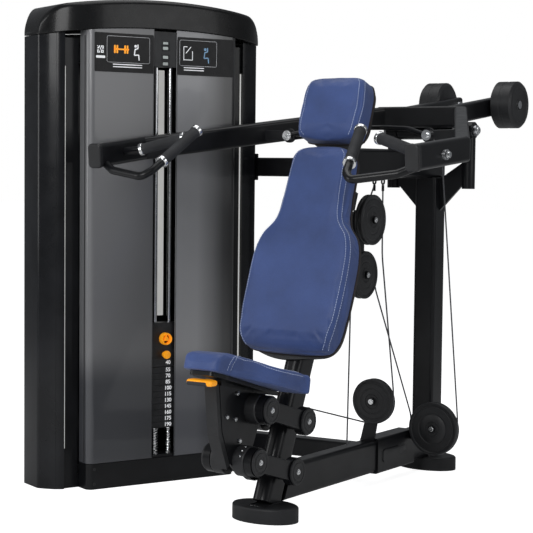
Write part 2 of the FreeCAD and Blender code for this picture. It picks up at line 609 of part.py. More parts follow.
save("pulley_brackets", *(joined.cut(hanger_cable).Solids + thimbles))


# ---- tower: drawn with x across its front and -y out of the front ----
def arch_prism(low_end, low_mid, high_end, high_mid, half, corner, y0, y1):
    """A slab between two arches, seen from the front, with rounded upper corners."""
    left, right = V(-half, 0, low_end), V(half, 0, low_end)
    shoulder = V(half, 0, high_end)
    edges = [Part.Arc(left, V(0, 0, low_mid), right).toShape(), Part.makeLine(right, shoulder),
             Part.Arc(shoulder, V(0, 0, high_mid), V(-half, 0, high_end)).toShape(),
             Part.makeLine(V(-half, 0, high_end), left)]
    slab = Part.Face(Part.Wire(edges)).extrude(V(0, y1 - y0, 0))
    slab.translate(V(0, y0, 0))
    return rounded(slab, corner, lambda edge: edge.BoundBox.YLength > 10 and edge.BoundBox.ZMin > low_mid)


# the front of the cap bulges to meet the panels
bulge = Part.BSplineCurve()
bulge.interpolate([V(-TOWER_HALF, 0, 0), V(-340, -34, 0), V(-240, -56, 0), V(0, -66, 0), V(240, -56, 0),
                   V(340, -34, 0), V(TOWER_HALF, 0, 0)])
plan = Part.Wire([bulge.toShape(), Part.makeLine(V(TOWER_HALF, 0, 0), V(TOWER_HALF, PILLAR_DEPTH, 0)),
                  Part.makeLine(V(TOWER_HALF, PILLAR_DEPTH, 0), V(330, COVER_BACK, 0)),
                  Part.makeLine(V(330, COVER_BACK, 0), V(-330, COVER_BACK, 0)),
                  Part.makeLine(V(-330, COVER_BACK, 0), V(-TOWER_HALF, PILLAR_DEPTH, 0)),
                  Part.makeLine(V(-TOWER_HALF, PILLAR_DEPTH, 0), V(-TOWER_HALF, 0, 0))])
plan_column = Part.Face(plan).extrude(V(0, 0, TOWER_PEAK + 40))
cap_slab = arch_prism(TOWER_SHOULDER, TOWER_SHOULDER + 30, 1596, TOWER_PEAK, TOWER_HALF, 52, -80, COVER_BACK + 10)
save("top_cap", in_tower(cap_slab.common(plan_column)))
under_cap = Part.Face(Part.Wire([
    Part.makeLine(V(-TOWER_HALF, 0, 0), V(TOWER_HALF, 0, 0)),
    Part.makeLine(V(TOWER_HALF, 0, 0), V(TOWER_HALF, 0, TOWER_SHOULDER - 1)),
    Part.Arc(V(TOWER_HALF, 0, TOWER_SHOULDER - 1), V(0, 0, TOWER_SHOULDER + 29),
             V(-TOWER_HALF, 0, TOWER_SHOULDER - 1)).toShape(),
    Part.makeLine(V(-TOWER_HALF, 0, TOWER_SHOULDER - 1), V(-TOWER_HALF, 0, 0))])).extrude(V(0, 400, 0))
under_cap.translate(V(0, -100, 0))

pillar = box(PILLAR_INNER, TOWER_HALF, 0, PILLAR_DEPTH, 0, 1600)
pillar = rounded(pillar, 14, lambda edge: along(AXIS_Z)(edge) and edge.BoundBox.XMin > 400)
pillar = pillar.common(under_cap)
save("tower_pillars", *[in_tower(piece) for piece in pair(pillar)])

upright = box(PANEL_EDGE + 4, PILLAR_INNER, 12, 92, 0, TOWER_SHOULDER - 10)
save("tower_uprights", *[in_tower(piece) for piece in pair(upright)])

panel = rounded(box(SLOT_HALF, PANEL_EDGE, -PANEL_FRONT, 8, KICK_HEIGHT + 2, 1600), 22,
                lambda edge: along(AXIS_Z)(edge) and edge.BoundBox.XMin > PANEL_EDGE - 1 and edge.BoundBox.YMax < 0)
hollow = box(SLOT_HALF - 1, PANEL_EDGE - PANEL_THICKNESS, PANEL_THICKNESS - PANEL_FRONT, 9, 0, 1600)
hollow = rounded(hollow, 18, lambda edge: along(AXIS_Z)(edge) and edge.BoundBox.XMin > PANEL_EDGE - 6
                 and edge.BoundBox.YMax < 0)
panel = panel.cut(hollow).common(under_cap)
save("front_panels", *[in_tower(piece) for piece in pair(panel)])

kick = box(-PANEL_EDGE, PANEL_EDGE, -PANEL_FRONT, 10, 0, KICK_HEIGHT)
kick = rounded(kick, 22, lambda edge: along(AXIS_Z)(edge) and edge.BoundBox.YMax < 0)
save("kick_panel", in_tower(kick))
display = rounded(box(-SLOT_HALF + 1, SLOT_HALF - 1, -PANEL_FRONT + 2, -30, 1412, 1530), 3, along(AXIS_Z))
save("display_module", in_tower(display.common(under_cap)))

cover_shell = Part.Face(Part.makePolygon([V(-TOWER_HALF + 6, PILLAR_DEPTH + 1, 0), V(-330, COVER_BACK, 0),
                                          V(330, COVER_BACK, 0), V(TOWER_HALF - 6, PILLAR_DEPTH + 1, 0),
                                          V(TOWER_HALF - 26, PILLAR_DEPTH + 1, 0), V(322, COVER_BACK - 8, 0),
                                          V(-322, COVER_BACK - 8, 0), V(-TOWER_HALF + 26, PILLAR_DEPTH + 1, 0),
                                          V(-TOWER_HALF + 6, PILLAR_DEPTH + 1, 0)])).extrude(V(0, 0, 1600))
save("back_cover", in_tower(cover_shell.common(under_cap)))
base = box(-PANEL_EDGE - 3, PANEL_EDGE + 3, 12, PILLAR_DEPTH, 0, BASE_TOP)
head_bar = box(-PANEL_EDGE - 3, PANEL_EDGE + 3, 12, 72, ROD_TOP - 30, ROD_TOP + 20)
foot_ledge = box(-80, 100, -50, 12, KICK_HEIGHT + 1, KICK_HEIGHT + 10)
rod_seat = box(-80, 100, -50, 12, ROD_TOP, ROD_TOP + 16)
rods = [cylinder(V(STACK_X + side * ROD_SPACING / 2, ROD_Y, (KICK_HEIGHT + 10 + ROD_TOP) / 2), AXIS_Z, ROD_RADIUS,
                 ROD_TOP - KICK_HEIGHT - 10) for side in (1, -1)]
rod_seat = rod_seat.cut(display)
save("tower_cross_members", *[in_tower(piece) for piece in (base, head_bar, foot_ledge, rod_seat)])
save("guide_rods", *[in_tower(piece) for piece in rods])


# ---- weight stack ----
def stack_plate(z, thickness, stem_hole):
    plate = box(STACK_X - PLATE_WIDTH / 2, STACK_X + PLATE_WIDTH / 2, PLATE_FRONT, PLATE_BACK, z, z + thickness)
    plate = rounded(plate, 4, along(AXIS_Z))
    for piece in rods:
        plate = plate.cut(cylinder(V(piece.CenterOfMass.x, ROD_Y, z), AXIS_Z, ROD_RADIUS + 0.6, 80))
    return plate.cut(cylinder(V(STACK_X, ROD_Y, z), AXIS_Z, stem_hole, 80))


plates = [stack_plate(STACK_BOTTOM + index * PLATE_PITCH, PLATE_THICKNESS, STEM_RADIUS + 0.6)
          for index in range(PLATE_COUNT)]
save("weight_plates", *[in_tower(piece) for piece in plates])
TOP_PLATE_Z = STACK_BOTTOM + PLATE_COUNT * PLATE_PITCH + 1
lead = stack_plate(TOP_PLATE_Z, PLATE_THICKNESS + 8, STEM_RADIUS)
head = rounded(box(STACK_X - 52, STACK_X + 52, PLATE_FRONT + 2, 4, TOP_PLATE_Z + PLATE_THICKNESS + 8,
                         TOP_PLATE_Z + 150), 5, along(AXIS_Z))
for piece in rods:
    head = head.cut(cylinder(V(piece.CenterOfMass.x, ROD_Y, TOP_PLATE_Z), AXIS_Z, ROD_RADIUS + 0.6, 800))
stem = cylinder(V(STACK_X, ROD_Y, (STACK_BOTTOM + 4 + TOP_PLATE_Z + 60) / 2), AXIS_Z, STEM_RADIUS,
                TOP_PLATE_Z + 60 - STACK_BOTTOM - 4)
KNOB_X = STACK_X - 4
DIAL_Z = TOP_PLATE_Z + 96
PIN_Z = TOP_PLATE_Z + 42
PIN_RADIUS = 5
carriage = lead.fuse([head, stem])
carriage = carriage.cut(cylinder(V(KNOB_X, ROD_Y - 4, PIN_Z), AXIS_Y, PIN_RADIUS + RUNNING_GAP, 72))
carriage = carriage.cut(cylinder(V(KNOB_X, PLATE_FRONT, DIAL_Z), AXIS_Y, PIN_RADIUS + RUNNING_GAP, 60))
save("stack_head", in_tower(carriage))
springs = [ring(V(STACK_X + side * ROD_SPACING / 2, ROD_Y, (KICK_HEIGHT + 10 + STACK_BOTTOM) / 2), AXIS_Z, 14,
                ROD_RADIUS, STACK_BOTTOM - KICK_HEIGHT - 10) for side in (1, -1)]
save("stack_springs", *[in_tower(piece) for piece in springs])
dial = cylinder(V(KNOB_X, PLATE_FRONT - 12, DIAL_Z), AXIS_Y, 21, 22)
dial = rounded(dial, 4, lambda edge: edge.BoundBox.YMax < PLATE_FRONT - 20)
dial = dial.fuse(cylinder(V(KNOB_X, PLATE_FRONT + 6, DIAL_Z), AXIS_Y, PIN_RADIUS, 24))
save("increment_dial", in_tower(dial))
pin = cylinder(V(KNOB_X, PLATE_FRONT - 13, PIN_Z), AXIS_Y, 14, 24)
pin = rounded(pin, 4, lambda edge: edge.BoundBox.YMax < PLATE_FRONT - 20)
pin = pin.fuse(cylinder(V(KNOB_X, PLATE_FRONT + 8, PIN_Z), AXIS_Y, PIN_RADIUS, 40))
save("selector_pin", in_tower(pin))
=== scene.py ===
import math

import bmesh
import bpy
from mathutils import Matrix, Vector
from mathutils.bvhtree import BVHTree
from mathutils.kdtree import KDTree


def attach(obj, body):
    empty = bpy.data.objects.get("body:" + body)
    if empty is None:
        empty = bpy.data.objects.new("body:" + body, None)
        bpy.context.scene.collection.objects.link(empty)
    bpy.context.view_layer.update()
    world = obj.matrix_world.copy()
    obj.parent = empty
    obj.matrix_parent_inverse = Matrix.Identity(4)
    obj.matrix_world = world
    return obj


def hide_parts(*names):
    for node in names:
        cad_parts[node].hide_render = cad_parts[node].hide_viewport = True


# Looks of the shoulder press machine, in metres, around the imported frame.
# +Z up, the user faces -Y, +X is the user's left; the weight tower stands on the -X side.

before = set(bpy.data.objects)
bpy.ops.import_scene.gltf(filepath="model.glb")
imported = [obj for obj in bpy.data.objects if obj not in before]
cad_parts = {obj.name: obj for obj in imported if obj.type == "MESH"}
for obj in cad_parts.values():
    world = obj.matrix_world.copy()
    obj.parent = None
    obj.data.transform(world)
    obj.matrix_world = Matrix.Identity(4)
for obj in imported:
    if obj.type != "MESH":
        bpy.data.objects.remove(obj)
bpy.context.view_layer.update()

X_AXIS, Y_AXIS, Z_AXIS = Vector((1, 0, 0)), Vector((0, 1, 0)), Vector((0, 0, 1))
SCENE_AXES = (X_AXIS, Y_AXIS, Z_AXIS)
MM = 0.001


# ---------------------------------------------------------------- camera, light, floor
CAMERA_AT = Vector((2.665, -4.064, 1.08))
CAMERA_TURN = math.radians(56.7)      # the view's right-hand axis, from +Y towards +X
CAMERA_PITCH = math.radians(3.56)
CAMERA_ROLL = math.radians(0.6)
CAMERA_LENS = 108.07
FLOOR_GLOW = 0.85
SURROUND_LIGHT = 0.2
SOFTBOXES = [  # name, place, aim, width, height, watts
    ("key_softbox", (0.3, -4.2, 2.5), (0, 0.3, 0.7), 2.6, 2.0, 92),
    ("side_softbox", (4.6, 0.6, 2.2), (-0.3, 0.4, 0.9), 2.6, 2.4, 34),
    ("overhead_softbox", (-0.2, 0.6, 4.2), (-0.2, 0.6, 0), 3.2, 3.2, 56),
    ("left_softbox", (-3.6, -2.8, 1.8), (-0.4, 0.2, 1.0), 1.6, 2.4, 36),
]


def add_to_scene(name, data):
    """A new object in the scene, holding a camera, a light, a text or a mesh."""
    made = bpy.data.objects.new(name, data)
    bpy.context.scene.collection.objects.link(made)
    return made


def add_camera():
    right = Vector((math.sin(CAMERA_TURN), math.cos(CAMERA_TURN), 0))
    ahead = Vector((-math.cos(CAMERA_TURN), math.sin(CAMERA_TURN), 0))
    forward = ahead * math.cos(CAMERA_PITCH) - Z_AXIS * math.sin(CAMERA_PITCH)
    above = Z_AXIS * math.cos(CAMERA_PITCH) + ahead * math.sin(CAMERA_PITCH)
    rolled_right = right * math.cos(CAMERA_ROLL) + above * math.sin(CAMERA_ROLL)
    rolled_up = above * math.cos(CAMERA_ROLL) - right * math.sin(CAMERA_ROLL)
    data = bpy.data.cameras.new("camera")
    data.lens = CAMERA_LENS
    data.sensor_width = 36
    data.clip_end = 60
    camera = add_to_scene("camera", data)
    turn = Matrix((rolled_right, rolled_up, -forward)).transposed()
    camera.matrix_world = Matrix.Translation(CAMERA_AT) @ turn.to_4x4()
    bpy.context.scene.camera = camera


def feed(tree, entry, value):
    """Set a node's input, or link it when the value is another node's output."""
    if isinstance(value, bpy.types.NodeSocket):
        tree.links.new(value, entry)
    else:
        entry.default_value = value


def add_node(tree, kind, inputs, **settings):
    """A shader node with its settings and its inputs, by name or by number."""
    node = tree.nodes.new("ShaderNode" + kind)
    for name, value in settings.items():
        setattr(node, name, value)
    for key, value in inputs.items():
        feed(tree, node.inputs[key], value)
    return node


def add_softbox(name, at, aim, width, height, watts):
    data = bpy.data.lights.new(name, "AREA")
    data.shape = "RECTANGLE"
    data.size = width
    data.size_y = height
    data.energy = watts
    lamp = add_to_scene(name, data)
    lamp.location = at
    lamp.rotation_euler = (Vector(aim) - Vector(at)).to_track_quat("-Z", "Y").to_euler()


def add_floor():
    """A pale floor that glows for the camera only, so that it meets the white surround without an edge."""
    bpy.ops.mesh.primitive_plane_add(size=60, location=(0, 0, -0.0005))
    floor = bpy.context.object
    floor.name = "floor"
    pale = Finish("pale_floor", (0.86, 0.86, 0.86), 0.6, specular=0.2)
    seen = pale.add("LightPath", {}).outputs["Is Camera Ray"]
    lift = pale.add("Math", {0: seen, 1: FLOOR_GLOW}, operation="MULTIPLY")
    pale.glow((1, 1, 1), lift.outputs[0])
    floor.data.materials.append(pale.material)


def add_surround():
    """White for the camera and a dim, slightly blue grey for everything else."""
    world = bpy.data.worlds.new("surround")
    bpy.context.scene.world = world
    world.use_nodes = True
    tree = world.node_tree
    white = tree.nodes["Background"]
    feed(tree, white.inputs["Color"], (1, 1, 1, 1))
    around = add_node(tree, "Background", {"Color": (0.93, 0.96, 1.0, 1), "Strength": SURROUND_LIGHT})
    seen = add_node(tree, "LightPath", {}).outputs["Is Camera Ray"]
    mix = add_node(tree, "MixShader", {0: seen, 1: around.outputs[0], 2: white.outputs[0]})
    feed(tree, tree.nodes["World Output"].inputs["Surface"], mix.outputs[0])


def add_studio():
    add_floor()
    add_surround()
    for softbox in SOFTBOXES:
        add_softbox(*softbox)
    bpy.context.scene.view_settings.view_transform = "Standard"
    bpy.context.scene.view_settings.look = "None"


# ---------------------------------------------------------------- materials
class Finish:
    """A procedural material under construction: a Principled shader with detail in object space."""

    def __init__(self, name, color, rough, metallic=0.0, coat=0.0, specular=0.5):
        self.material = bpy.data.materials.new(name)
        self.material.use_nodes = True
        self.tree = self.material.node_tree
        self.shader = self.tree.nodes["Principled BSDF"]
        self.set("Base Color", (*color, 1))
        self.set("Roughness", rough)
        self.set("Metallic", metallic)
        self.set("Coat Weight", coat)
        self.set("Coat Roughness", 0.08)
        self.set("Specular IOR Level", specular)
        self.place = self.add("TexCoord", {}).outputs["Object"]
        self.normal = None

    def set(self, entry, value):
        feed(self.tree, self.shader.inputs[entry], value)

    def add(self, kind, inputs, **settings):
        return add_node(self.tree, kind, inputs, **settings)

    def glow(self, color, strength):
        self.set("Emission Color", (*color, 1))
        self.set("Emission Strength", strength)

    def noise(self, scale, detail):
        return self.add("TexNoise", {"Scale": scale, "Detail": detail, "Vector": self.place}).outputs["Fac"]

    def spread(self, fac, low, high, from_low=0.3, from_high=0.7, **settings):
        """Stretch a factor's range to low..high."""
        node = self.add("MapRange", {"From Min": from_low, "From Max": from_high, "To Min": low,
                                     "To Max": high, "Value": fac}, **settings)
        return node.outputs["Result"]

    def mix(self, fac, low, high, blend="MIX"):
        """A colour between two colours, or two of them blended, by a factor."""
        node = self.add("Mix", {0: fac, 6: low, 7: high}, data_type="RGBA", blend_type=blend)
        return node.outputs[2]

    def tint(self, fac, low, high, from_low=0.3, from_high=0.7):
        """Base colour between two colours, by a factor."""
        shade = self.mix(self.spread(fac, 0, 1, from_low, from_high), (*low, 1), (*high, 1))
        self.set("Base Color", shade)
        return shade

    def rough_from(self, fac, low, high):
        self.set("Roughness", self.spread(fac, low, high))

    def bump(self, height, strength, distance):
        """Raise the surface by a height, on top of any earlier bump."""
        inputs = {"Strength": strength, "Distance": distance, "Height": height}
        if self.normal is not None:
            inputs["Normal"] = self.normal
        self.normal = self.add("Bump", inputs).outputs["Normal"]
        self.set("Normal", self.normal)


def scaled(color, factor):
    return tuple(channel * factor for channel in color)


def painted(name, color, rough):
    """Powder coat: faint orange peel, a little dust in the gloss and small changes of tone."""
    finish = Finish(name, color, rough, coat=0.12, specular=0.24)
    finish.tint(finish.noise(9, 4), scaled(color, 0.75), scaled(color, 1.5))
    finish.rough_from(finish.noise(22, 4), rough - 0.02, rough + 0.05)
    finish.bump(finish.noise(420, 2), 0.12, 0.0004)
    return finish.material


def plated(name, color, rough):
    """Plated or bright steel, very slightly clouded."""
    finish = Finish(name, color, rough, metallic=1.0)
    finish.tint(finish.noise(24, 3), scaled(color, 0.86), color)
    finish.rough_from(finish.noise(60, 4), rough, rough + 0.12)
    finish.bump(finish.noise(900, 2), 0.05, 0.0002)
    return finish.material


def moulded(name, color, rough, grain=900, specular=0.4, glow=0.0):
    """Moulded plastic or rubber with a fine spark-eroded grain; glow lifts a part that lies in shade."""
    finish = Finish(name, color, rough, specular=specular)
    finish.glow(color, glow)
    finish.tint(finish.noise(16, 3), scaled(color, 0.8), scaled(color, 1.25))
    finish.rough_from(finish.noise(70, 4), rough - 0.03, rough + 0.05)
    finish.bump(finish.noise(grain, 3), 0.25, 0.0004)
    return finish.material


def cast(name, color, rough):
    """Painted cast iron: coarse, with an uneven gloss."""
    finish = Finish(name, color, rough, specular=0.4)
    finish.tint(finish.noise(60, 5), scaled(color, 0.7), scaled(color, 1.6))
    finish.rough_from(finish.noise(30, 4), rough - 0.1, rough + 0.1)
    finish.bump(finish.noise(300, 5), 0.4, 0.0006)
    return finish.material


def leather(name, color):
    """Upholstery vinyl: pebbled grain, creases and a slow change of tone."""
    finish = Finish(name, color, 0.5, specular=0.35)
    finish.set("Sheen Weight", 0.12)
    finish.set("Sheen Roughness", 0.5)
    cloudy = finish.tint(finish.noise(7, 6), scaled(color, 0.82), scaled(color, 1.2))
    cells = finish.add("TexVoronoi", {"Scale": 520, "Vector": finish.place}, feature="DISTANCE_TO_EDGE")
    pores = cells.outputs["Distance"]
    finish.set("Base Color", finish.mix(0.5, cloudy, finish.spread(pores, 0.62, 1.06, 0.0, 0.3), "MULTIPLY"))
    finish.rough_from(finish.noise(45, 4), 0.42, 0.58)
    finish.bump(finish.noise(55, 5), 0.14, 0.002)
    finish.bump(pores, 0.35, 0.0006)
    return finish.material


def smoked_panel(name, tones_with_painted_light):
    """Tinted sheet, toned by (x across the tower, tone): painted light and shade, lighter and darker bands
    where light falls unevenly across it; also darker low down, where plates stand behind it.
    """
    finish = Finish(name, (0.12, 0.12, 0.125), 0.32, coat=0.35)
    across = finish.add("VectorMath", {0: finish.place, 1: TOWER_X}, operation="DOT_PRODUCT")
    first, last = tones_with_painted_light[0][0], tones_with_painted_light[-1][0]
    shift = TOWER_AT.dot(TOWER_X)
    fac = finish.spread(across.outputs["Value"], 0, 1, shift + first * MM, shift + last * MM)
    ramp = finish.add("ValToRGB", {0: fac})
    stops = ramp.color_ramp.elements
    while len(stops) < len(tones_with_painted_light):
        stops.new(0.5)
    for stop, (x, tone) in zip(stops, tones_with_painted_light):
        stop.position = (x - first) / (last - first)
        stop.color = (tone, tone * 1.01, tone * 1.05, 1)
    height = finish.add("SeparateXYZ", {0: finish.place}).outputs["Z"]
    low_down = finish.spread(height, 1, 0, 0.34, 0.47, interpolation_type="SMOOTHSTEP")
    finish.set("Base Color", finish.mix(low_down, ramp.outputs[0], (0.36, 0.37, 0.4, 1), "MULTIPLY"))
    finish.rough_from(finish.noise(3, 2), 0.3, 0.34)
    finish.bump(finish.noise(2.2, 1), 0.02, 0.004)
    return finish.material


def stranded(name, color):
    """Coated steel cable: fine diagonal strands under the coating."""
    finish = Finish(name, color, 0.38, metallic=0.35)
    bands = finish.add("TexWave", {"Scale": 160, "Vector": finish.place}, bands_direction="DIAGONAL")
    wave = bands.outputs["Fac"]
    finish.bump(wave, 0.6, 0.0008)
    finish.tint(wave, scaled(color, 0.5), scaled(color, 1.4), 0, 1)
    return finish.material


# the tower's own directions: x across its front, out of its front is -TOWER_Y
TOWER_AT = Vector((-0.655, 0.300, 0))
TOWER_TURN = math.radians(23.5)
TOWER_X = Vector((math.sin(TOWER_TURN), math.cos(TOWER_TURN), 0))
TOWER_Y = Vector((-math.cos(TOWER_TURN), math.sin(TOWER_TURN), 0))
TOWER_AXES = (TOWER_X, TOWER_Y, Z_AXIS)


def in_tower(x, y, z):
    """A point given in the tower's own millimetres."""
    return TOWER_AT + TOWER_X * (x * MM) + TOWER_Y * (y * MM) + Z_AXIS * (z * MM)


finishes = {}


def make_finishes():
    finishes.update(
        black=painted("black_powder_coat", (0.0052, 0.0055, 0.0066), 0.3),
        chrome=plated("bright_chrome", (0.82, 0.83, 0.84), 0.08),
        steel=plated("zinc_steel", (0.55, 0.56, 0.58), 0.24),
        plastic=moulded("black_plastic", (0.016, 0.0165, 0.018), 0.42),
        # the cap's black is darker than the shell's to hold down the overhead light on its bulge: painted
        # shade
        cap=painted("gloss_cap_painted_shade", (0.0045, 0.0046, 0.005), 0.26),
        shell=painted("gloss_shell", (0.0075, 0.008, 0.0095), 0.2),
        rubber=moulded("grip_rubber", (0.03, 0.031, 0.034), 0.62, 1300, 0.3),
        foot=moulded("foot_rubber", (0.014, 0.0145, 0.016), 0.5, 700, 0.35),
        leather=leather("blue_upholstery", (0.047, 0.084, 0.245)),
        thread=moulded("pale_thread", (0.42, 0.48, 0.66), 0.7, 2500, 0.2),
        piping=moulded("dark_piping", (0.02, 0.013, 0.011), 0.55, 800),
        # the orange glows: painted light, brighter than the lamps make it
        orange=moulded("orange_plastic", (0.98, 0.37, 0.012), 0.32, glow=0.28),
        cable=stranded("coated_cable", (0.09, 0.092, 0.098)),
        iron=cast("painted_iron", (0.012, 0.0125, 0.014), 0.4),
        # the white print glows: painted light on print that lies in shade
        white=moulded("white_print_painted_glow", (0.8, 0.81, 0.83), 0.5, 1500, 0.3, 0.3),
        print_black=moulded("placard_black", (0.007, 0.007, 0.008), 0.3, 1500, 0.2),
        sky=moulded("pale_blue_print", (0.24, 0.42, 0.62), 0.5, 1500, 0.3),
        lcd=moulded("display_glass", (0.42, 0.47, 0.45), 0.15, 1500, 0.6),
        # the pale strip glows: painted light that lifts the strip behind the rods out of its slot's shade and
        # makes the recess lines shine as painted highlights
        strip=moulded("pale_strip_painted_glow", (0.66, 0.66, 0.64), 0.4, specular=0.5, glow=0.55),
        # these panel tones are painted light and shade: a lighter outer edge on the left sheet, the right
        # sheet's inner half lifted and its outer edge darkened
        panel=smoked_panel("smoked_panel", [(-286, 0.17), (-262, 0.15), (-150, 0.142), (-50, 0.12),
                                            (50, 0.26), (130, 0.26), (190, 0.15), (235, 0.05), (286, 0.012)]),
    )


def dress(material, *nodes):
    """Give CAD nodes a finished material; their meshes stay as they are."""
    for name in nodes:
        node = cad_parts[name]
        if not node.material_slots:
            node.data.materials.append(finishes[material])
        for slot in node.material_slots:
            slot.material = finishes[material]


# ---------------------------------------------------------------- mesh building
SHARP = math.radians(32)


def directions_about(axis):
    """An axis as a unit vector, with two directions square to it and to each other."""
    axis = axis.normalized()
    side = axis.orthogonal().normalized()
    return axis, side, axis.cross(side)


class Piece:
    """Collects surfaces, in millimetres along given axes, and becomes one object on a body."""

    def __init__(self, name):
        self.name = name
        self.mesh = bmesh.new()

    def ring(self, centre, side, other, radius, steps):
        """A circle of points, or one point where the radius is nothing."""
        if radius < 1e-6:
            return [self.mesh.verts.new(centre)]
        return [self.mesh.verts.new(centre + (side * math.cos(2 * math.pi * k / steps)
                                              + other * math.sin(2 * math.pi * k / steps)) * (radius * MM))
                for k in range(steps)]

    def skin(self, low, high):
        """Faces between two rings; either may be a single point."""
        steps = max(len(low), len(high))
        for k in range(steps):
            following = (k + 1) % steps
            corners = [low[k % len(low)], low[following % len(low)], high[following % len(high)],
                       high[k % len(high)]]
            unique = list(dict.fromkeys(corners))
            if len(unique) > 2:
                self.mesh.faces.new(unique)

    def wrap(self, rings, closed=False, capped=False):
        """Faces along a row of rings, which may end where it began or have a face at both ends."""
        for low, high in zip(rings, rings[1:]):
            self.skin(low, high)
        if closed:
            self.skin(rings[-1], rings[0])
        if capped:
            self.mesh.faces.new(rings[0])
            self.mesh.faces.new(rings[-1])

    def lathe(self, profile, centre, axis, steps=48, closed=False):
        """Turn a profile of (radius, height) about an axis; a closed profile makes a ring."""
        axis, side, other = directions_about(axis)
        self.wrap([self.ring(centre + axis * (height * MM), side, other, radius, steps)
                   for radius, height in profile], closed)

    def tube(self, points, radius, steps=12, closed=False, ripple=0.0):
        """A round bar along points; ripple varies its radius, as on a weld bead."""
        rings = []
        count = len(points)
        side = None
        for index, point in enumerate(points):
            before = points[index - 1] if index or closed else points[0]
            after = points[(index + 1) % count] if closed or index + 1 < count else points[-1]
            run = (after - before).normalized()
            side = run.orthogonal() if side is None else side - run * side.dot(run)
            side.normalize()
            own_radius = radius * (1 + ripple * math.sin(index * 2.1))
            rings.append(self.ring(point, side, run.cross(side), own_radius, steps))
        self.wrap(rings, closed, capped=not closed)

    def block(self, centre, axes, size, bevel, segments=3):
        """A box with rounded edges; axes are its three directions, size its lengths along them."""
        turn = Matrix(axes).transposed().to_4x4()
        spread = Matrix.Diagonal((*[length * MM for length in size], 1))
        made = bmesh.ops.create_cube(self.mesh, size=1, matrix=Matrix.Translation(centre) @ turn @ spread)
        edges = list(dict.fromkeys(edge for vert in made["verts"] for edge in vert.link_edges))
        bmesh.ops.bevel(self.mesh, geom=edges, offset=bevel * MM, segments=segments, profile=0.5,
                        affect="EDGES")

    def socket_bolt(self, centre, axis, radius, height):
        """A cap screw with a chamfered head and a hexagon socket."""
        socket = radius * 0.48
        self.lathe([(radius * 1.25, 0), (radius * 1.25, 0.8), (radius, 0.9), (radius, height - 0.6),
                    (radius - 0.7, height), (socket + 0.3, height)], centre, axis, 24)
        axis, side, other = directions_about(axis)
        levels = [(socket, height), (socket, height * 0.4), (0, height * 0.4)]
        hexagon = [self.ring(centre + axis * (h * MM), side, other, r, 6) for r, h in levels]
        rim = self.ring(centre + axis * (height * MM), side, other, socket + 0.3, 24)
        for k in range(24):
            near, following = [hexagon[0][round(step / 4) % 6] for step in (k, k + 1)]
            corners = dict.fromkeys([rim[k], rim[(k + 1) % 24], following, near])
            self.mesh.faces.new(list(corners))
        self.wrap(hexagon)

    def mirror(self):
        """Add the mirror image across the mid-plane."""
        everything = list(self.mesh.verts) + list(self.mesh.edges) + list(self.mesh.faces)
        made = bmesh.ops.duplicate(self.mesh, geom=everything)
        for item in made["geom"]:
            if isinstance(item, bmesh.types.BMVert):
                item.co.x = -item.co.x

    def to_object(self):
        data = bpy.data.meshes.new(self.name)
        self.mesh.to_mesh(data)
        self.mesh.free()
        return add_to_scene(self.name, data)

    def finish(self, material, body, slot, *replaced):
        """Weld, shade and hand over the piece; edges sharper than SHARP stay crisp."""
        bmesh.ops.remove_doubles(self.mesh, verts=self.mesh.verts, dist=1e-6)
        bmesh.ops.recalc_face_normals(self.mesh, faces=self.mesh.faces)
        for face in self.mesh.faces:
            face.smooth = True
        for edge in self.mesh.edges:
            if len(edge.link_faces) == 2 and edge.calc_face_angle() > SHARP:
                edge.smooth = False
        settle(self.to_object(), material, body, slot, *replaced)


def settle(piece, material, body, slot, *replaced):
    """Finish a piece: its material, its body and the CAD nodes it stands for; the record slot is not used."""
    piece.data.materials.clear()
    piece.data.materials.append(finishes[material])
    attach(piece, body)
    if replaced:
        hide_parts(*replaced)


def smooth_loop(points, spacing, closed=True):
    """A smooth curve through points, sampled about every spacing."""
    samples = []
    count = len(points)
    spans = count if closed else count - 1
    for index in range(spans):
        p1, p2 = points[index], points[(index + 1) % count]
        p0 = points[index - 1] if closed or index else p1 * 2 - p2
        p3 = points[(index + 2) % count] if closed or index + 2 < count else p2 * 2 - p1
        steps = max(2, round((p2 - p1).length / spacing))
        for step in range(steps):
            t = step / steps
            samples.append(0.5 * (2 * p1 + (p2 - p0) * t + (2 * p0 - 5 * p1 + 4 * p2 - p3) * t * t
                                  + (3 * p1 - p0 - 3 * p2 + p3) * t * t * t))
    if not closed:
        samples.append(points[-1].copy())
    return samples


# ---------------------------------------------------------------- upholstery
VOXEL = 0.0055
STITCH_PITCH = 8.2
STITCH_LENGTH = 5.6
STITCH_RADIUS = 0.95
CLOTH = {"quality": 5, "mass": 0.3, "tension_stiffness": 15, "compression_stiffness": 15,
         "bending_stiffness": 2.0, "use_pressure": True, "uniform_pressure_force": 2.6}
SWELL_FRAMES = 20
SWELL_LIMIT = 0.0045
SEAM_WIDTH = 0.0045


def inset_loop(loop, inset):
    """Shift a closed (x, up) loop inwards along its own normals."""
    moved = []
    for index, point in enumerate(loop):
        run = (loop[(index + 1) % len(loop)] - loop[index - 1]).normalized()
        moved.append(point + Vector((-run.y, run.x)) * inset)
    return moved


def quarter(steps):
    """Angles from nothing to a right angle."""
    return [math.pi / 2 * step / steps for step in range(steps + 1)]


